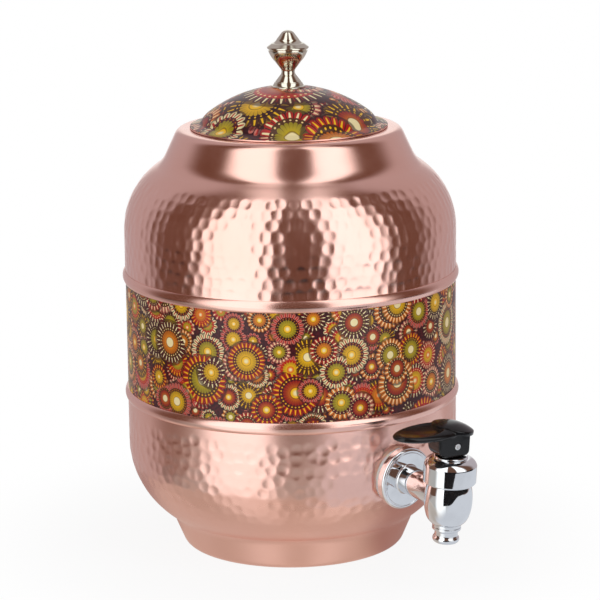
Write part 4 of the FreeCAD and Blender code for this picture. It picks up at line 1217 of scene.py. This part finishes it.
CAMERA_PLACE = Vector((-1.0347, -1.2916, 0.5278))
CAMERA_AIM = Vector((0, 0, 0.1398))
CAMERA_ROLL = 0.0125
FRAME_PIXELS = 600
AIM_PIXEL = (291.2, 315.6)
FOCAL_PIXELS = 2791.8
SENSOR = 36.0
CARD_RADIUS = 130.0
CARD_DEEP_FOOT = -47.0
CARD_FOOT = -13.0
CARD_TOP = 36.0
CARD_START = -26
CARD_STEP = (0.0, 44.0)
CARD_END = 100
CARD_TURN = 2
FLOOR_RADIUS = 0.60
TABLE_FRONT = 0.45
TABLE_SIDE = 0.46


def make_camera():
    """The photograph's viewpoint, with its small lean and the object's place in the picture."""
    data = bpy.data.cameras.new("camera")
    data.sensor_width = SENSOR
    data.lens = FOCAL_PIXELS * SENSOR / FRAME_PIXELS
    data.shift_x = (FRAME_PIXELS / 2 - AIM_PIXEL[0]) / FRAME_PIXELS
    data.shift_y = (AIM_PIXEL[1] - FRAME_PIXELS / 2) / FRAME_PIXELS
    data.clip_end = 20
    camera = bpy.data.objects.new("camera", data)
    bpy.context.scene.collection.objects.link(camera)
    ahead = (CAMERA_AIM - CAMERA_PLACE).normalized()
    right = ahead.cross(Vector((0, 0, 1))).normalized()
    up = right.cross(ahead)
    leaned_right = (right - up * CAMERA_ROLL).normalized()
    leaned_up = (up + right * CAMERA_ROLL).normalized()
    turn = Matrix((leaned_right, leaned_up, -ahead)).transposed().to_4x4()
    camera.matrix_world = Matrix.Translation(CAMERA_PLACE) @ turn
    bpy.context.scene.camera = camera


LIGHT_LEVEL = (1.56, 1.58, 1.60)
OVERHEAD_LEVEL = (0.98, 0.97, 0.96)
LEFT_LIGHT = (-64.0, -14.5)
RIGHT_LIGHT = (26.0, 68.0)
LIGHT_HEIGHT = (-80.0, 75.0)
WHITE = (1.0, 1.0, 1.0)
WARM_DARK = (0.150, 0.076, 0.052)
BLACK = (0.012, 0.012, 0.013)
BACKDROP = (0.50, 0.445, 0.465)
# Painted light and shade of the table, seen only in the metal: a warm painted glow near the foot, painted
# shade to the sides, a pale painted glow far off and a bluish one by the tap
NEAR_FLOOR_PAINTED_GLOW = (0.68, 0.60, 0.53)
SIDE_FLOOR_PAINTED_SHADE = (0.38, 0.26, 0.23)
FAR_FLOOR_PAINTED_GLOW = (0.95, 0.98, 0.95)
FAR_SIDE_PAINTED_SHADE = (0.55, 0.46, 0.43)
TAP_FLOOR_PAINTED_GLOW = (0.68, 0.71, 0.76)
TOWARD_CAMERA = Vector((CAMERA_PLACE.x, CAMERA_PLACE.y, 0)).normalized()
TO_THE_RIGHT = Vector((-TOWARD_CAMERA.y, TOWARD_CAMERA.x, 0))

# Soft edges of the lights, in degrees
LEFT_EDGES = (8, 3)
RIGHT_EDGES = (3, 8)
HEIGHT_EDGES = (6, 6)

# Where one part of the room fades into the next, in degrees round from the camera or up
BELOW_FADE = (-22, -16)
WALL_TURN = (96, 122)
WALL_LIFT = (80, 55)
BACK_TURN = (160, 172)
BACK_LIFT = (50, 30)
OVERHEAD_LIFT = (66, 80)
OVERHEAD_GAP = (0.05, 0.13)
OVERHEAD_SHIFT = 0.03

# Where one painted zone of table light or shade fades into the next, in metres or degrees
NEAR_TO_FAR = (0.14, 0.20)
FRONT_FADE = (TABLE_FRONT - 0.10, TABLE_FRONT + 0.05)
FRONT_TURN = (34, 26)
SIDE_FADE = (TABLE_SIDE - 0.02, TABLE_SIDE + 0.02)
TAP_TURN = (14, 115)
TAP_EDGES = (10, 5)
TAP_FROM = (0.12, 0.14)
RIGHT_TURN = (35, 60)
LEFT_TURN = (-80, -110)
FAR_SIDE_TURN = (58, 80)
LIGHT_THROUGH = (0.22, 0.56)
SHADOW_EDGE = 0.09


def window(nodes, value, span, edge):
    """1 where a value lies in a span, with a soft edge at each end."""
    low, high = edge
    rise = nodes.ramp(value, span[0] - low, span[0] + low)
    fall = nodes.ramp(value, span[1] + high, span[1] - high)
    return nodes.math("MULTIPLY", rise, fall)


def side_angle(nodes, direction):
    """Degrees round the object from the camera's side, growing to the camera's right."""
    forward = nodes.vector("DOT_PRODUCT", direction, tuple(TOWARD_CAMERA))
    sideways = nodes.vector("DOT_PRODUCT", direction, tuple(TO_THE_RIGHT))
    return nodes.math("DEGREES", nodes.math("ARCTAN2", sideways, forward))


def make_world():
    """Studio round the object: two tall soft lights on the camera's side, dark between, pale behind."""
    world = bpy.data.worlds.new("studio")
    bpy.context.scene.world = world
    world.use_nodes = True
    tree = world.node_tree
    tree.nodes.clear()
    nodes = Nodes(tree)
    direction = nodes.vector("NORMALIZE", nodes.add("ShaderNodeTexCoord").outputs["Generated"])
    turn = side_angle(nodes, direction)
    lift = nodes.math("DEGREES", nodes.math("ARCSINE", nodes.split(direction)[2]))
    left = window(nodes, turn, LEFT_LIGHT, LEFT_EDGES)
    right = window(nodes, turn, RIGHT_LIGHT, RIGHT_EDGES)
    tall = window(nodes, lift, LIGHT_HEIGHT, HEIGHT_EDGES)
    lamps = nodes.math("MULTIPLY", nodes.math("MAXIMUM", left, right), tall)
    dark = nodes.mix(nodes.ramp(lift, *BELOW_FADE), BLACK, WARM_DARK)
    away = nodes.math("ABSOLUTE", turn)
    wall = nodes.math("MULTIPLY", nodes.ramp(away, *WALL_TURN), nodes.ramp(lift, *WALL_LIFT))
    room = nodes.mix(wall, dark, BACKDROP)
    behind = nodes.math("MULTIPLY", nodes.ramp(away, *BACK_TURN), nodes.ramp(lift, *BACK_LIFT))
    room = nodes.mix(behind, room, WHITE)
    sideways = nodes.vector("DOT_PRODUCT", direction, tuple(TO_THE_RIGHT))
    off_middle = nodes.math("ABSOLUTE", nodes.math("SUBTRACT", sideways, OVERHEAD_SHIFT))
    above = nodes.math("MULTIPLY", nodes.ramp(off_middle, *OVERHEAD_GAP), nodes.ramp(lift, *OVERHEAD_LIFT))
    room = nodes.mix(above, room, OVERHEAD_LEVEL)
    studio = nodes.mix(lamps, room, LIGHT_LEVEL)
    path = nodes.add("ShaderNodeLightPath")
    seen = nodes.mix(path.outputs["Is Camera Ray"], studio, WHITE)
    background = nodes.add("ShaderNodeBackground")
    nodes.feed(background.inputs["Color"], seen)
    output = nodes.add("ShaderNodeOutputWorld")
    tree.links.new(background.outputs[0], output.inputs[0])


def painted_floor_reflection(nodes, place):
    """What metal shows of the table: a pale painted glow with painted shade to the sides, up to the table's
    edges, that lets part of the lights through.
    """
    far = nodes.vector("LENGTH", place)
    turn = side_angle(nodes, place)
    forward = nodes.vector("DOT_PRODUCT", place, tuple(TOWARD_CAMERA))
    sideways = nodes.math("ABSOLUTE", nodes.vector("DOT_PRODUCT", place, tuple(TO_THE_RIGHT)))
    outward = nodes.ramp(far, *NEAR_TO_FAR)
    by_tap = nodes.math("MULTIPLY", window(nodes, turn, TAP_TURN, TAP_EDGES), nodes.ramp(far, *TAP_FROM))
    aside = nodes.math("MAXIMUM", nodes.ramp(turn, *RIGHT_TURN), nodes.ramp(turn, *LEFT_TURN))
    # Painted shade to the sides near the foot and far off, painted glow elsewhere, and a pale painted glow
    # where the tap looks
    near = nodes.mix(aside, NEAR_FLOOR_PAINTED_GLOW, SIDE_FLOOR_PAINTED_SHADE)
    beyond = nodes.mix(nodes.ramp(nodes.math("ABSOLUTE", turn), *FAR_SIDE_TURN), FAR_FLOOR_PAINTED_GLOW, FAR_SIDE_PAINTED_SHADE)
    painted_glow = nodes.add("ShaderNodeEmission")
    nodes.feed(painted_glow.inputs["Color"], nodes.mix(by_tap, nodes.mix(outward, near, beyond), TAP_FLOOR_PAINTED_GLOW))
    past_front = nodes.math("MULTIPLY", nodes.ramp(forward, *FRONT_FADE), nodes.ramp(turn, *FRONT_TURN))
    past_edge = nodes.math("MAXIMUM", past_front, nodes.ramp(sideways, *SIDE_FADE))
    off_tap = nodes.math("SUBTRACT", 1.0, by_tap)
    through = nodes.math("MULTIPLY", off_tap, nodes.ramp(outward, 0, 1, *LIGHT_THROUGH))
    on_table = nodes.math("SUBTRACT", 1.0, past_edge)
    kept = nodes.math("MULTIPLY", on_table, nodes.math("SUBTRACT", 1.0, through))
    clear = nodes.add("ShaderNodeBsdfTransparent")
    return nodes.mix_shaders(nodes.math("SUBTRACT", 1.0, kept), painted_glow.outputs[0], clear.outputs[0])


def make_floor():
    """A round pale floor whose edge melts into the white behind it."""
    bm = bmesh.new()
    bmesh.ops.create_circle(bm, cap_ends=True, radius=FLOOR_RADIUS, segments=TURNED_SEGMENTS)
    floor = mesh_object("floor", bm)
    material, nodes, shader = new_material("pale_floor", Roughness=0.8, Base_Color=(0.86, 0.86, 0.86))
    place = object_place(nodes)
    path = nodes.add("ShaderNodeLightPath")
    white = nodes.add("ShaderNodeEmission")
    glow = nodes.ramp(nodes.vector("LENGTH", place), SHADOW_EDGE, FLOOR_RADIUS * 0.4, 0.90, 1.0)
    whitened = nodes.math("MULTIPLY", path.outputs["Is Camera Ray"], glow)
    direct = nodes.mix_shaders(whitened, shader.outputs[0], white.outputs[0])
    # Glossy and transmission rays see the painted light and shade of the table instead of the lit floor
    mirrored = nodes.math("MAXIMUM", path.outputs["Is Glossy Ray"], path.outputs["Is Transmission Ray"])
    whole = nodes.mix_shaders(mirrored, direct, painted_floor_reflection(nodes, place))
    nodes.feed(surface_of(material), whole)
    floor.data.materials.append(material)


def card_foot(turn):
    """Height of the card's lower edge, in mm from the tap: deep in front, rising to the side."""
    share = min(max((turn - CARD_STEP[0]) / (CARD_STEP[1] - CARD_STEP[0]), 0), 1)
    return CARD_DEEP_FOOT + (CARD_FOOT - CARD_DEEP_FOOT) * share * share * (3 - 2 * share)


def make_painted_reflection_card():
    """Painted dark reflection: a black card round the front of the tap, which shows in the tap's own
    reflections only.
    """
    bm = bmesh.new()
    front = math.degrees(math.atan2(TOWARD_CAMERA.y, TOWARD_CAMERA.x))
    columns = []
    for turn in range(CARD_START, CARD_END + 1, CARD_TURN):
        angle = math.radians(front + turn)
        across, ahead = CARD_RADIUS * math.cos(angle), CARD_RADIUS * math.sin(angle)
        ends = (card_foot(turn), CARD_TOP)
        columns.append([bm.verts.new((across * MM, ahead * MM, up * MM)) for up in ends])
    for (foot, top), (next_foot, next_top) in zip(columns, columns[1:]):
        bm.faces.new((foot, next_foot, next_top, top))
    card = mesh_object("painted_reflection_card", bm, Matrix.Translation(VALVE_PLACE))
    material, nodes, shader = new_material("painted_reflection_black", Roughness=0.9, Base_Color=BLACK)
    path = nodes.add("ShaderNodeLightPath")
    # Painted reflection: black only to glossy rays shorter than the card's radius, clear to all other rays
    near = nodes.math("LESS_THAN", path.outputs["Ray Length"], CARD_RADIUS * MM)
    clear = nodes.add("ShaderNodeBsdfTransparent")
    shown = nodes.math("MULTIPLY", path.outputs["Is Glossy Ray"], near)
    nodes.feed(surface_of(material), nodes.mix_shaders(shown, clear.outputs[0], shader.outputs[0]))
    card.data.materials.append(material)


make_camera()
make_belly()
make_shoulder()
make_barrel()
make_band()
make_bead("upper_bead_hoop", "upper_bead", UPPER_SEAM, 1)
make_bead("lower_bead_hoop", "lower_bead", LOWER_SEAM, -1)
make_lid()
make_collar()
make_finial()
make_tap_body()
make_spout()
make_bonnet()
make_lever()
make_pin()
dress_kept_nodes()
make_world()
make_floor()
make_painted_reflection_card()

bpy.context.scene.view_settings.view_transform = "Standard"
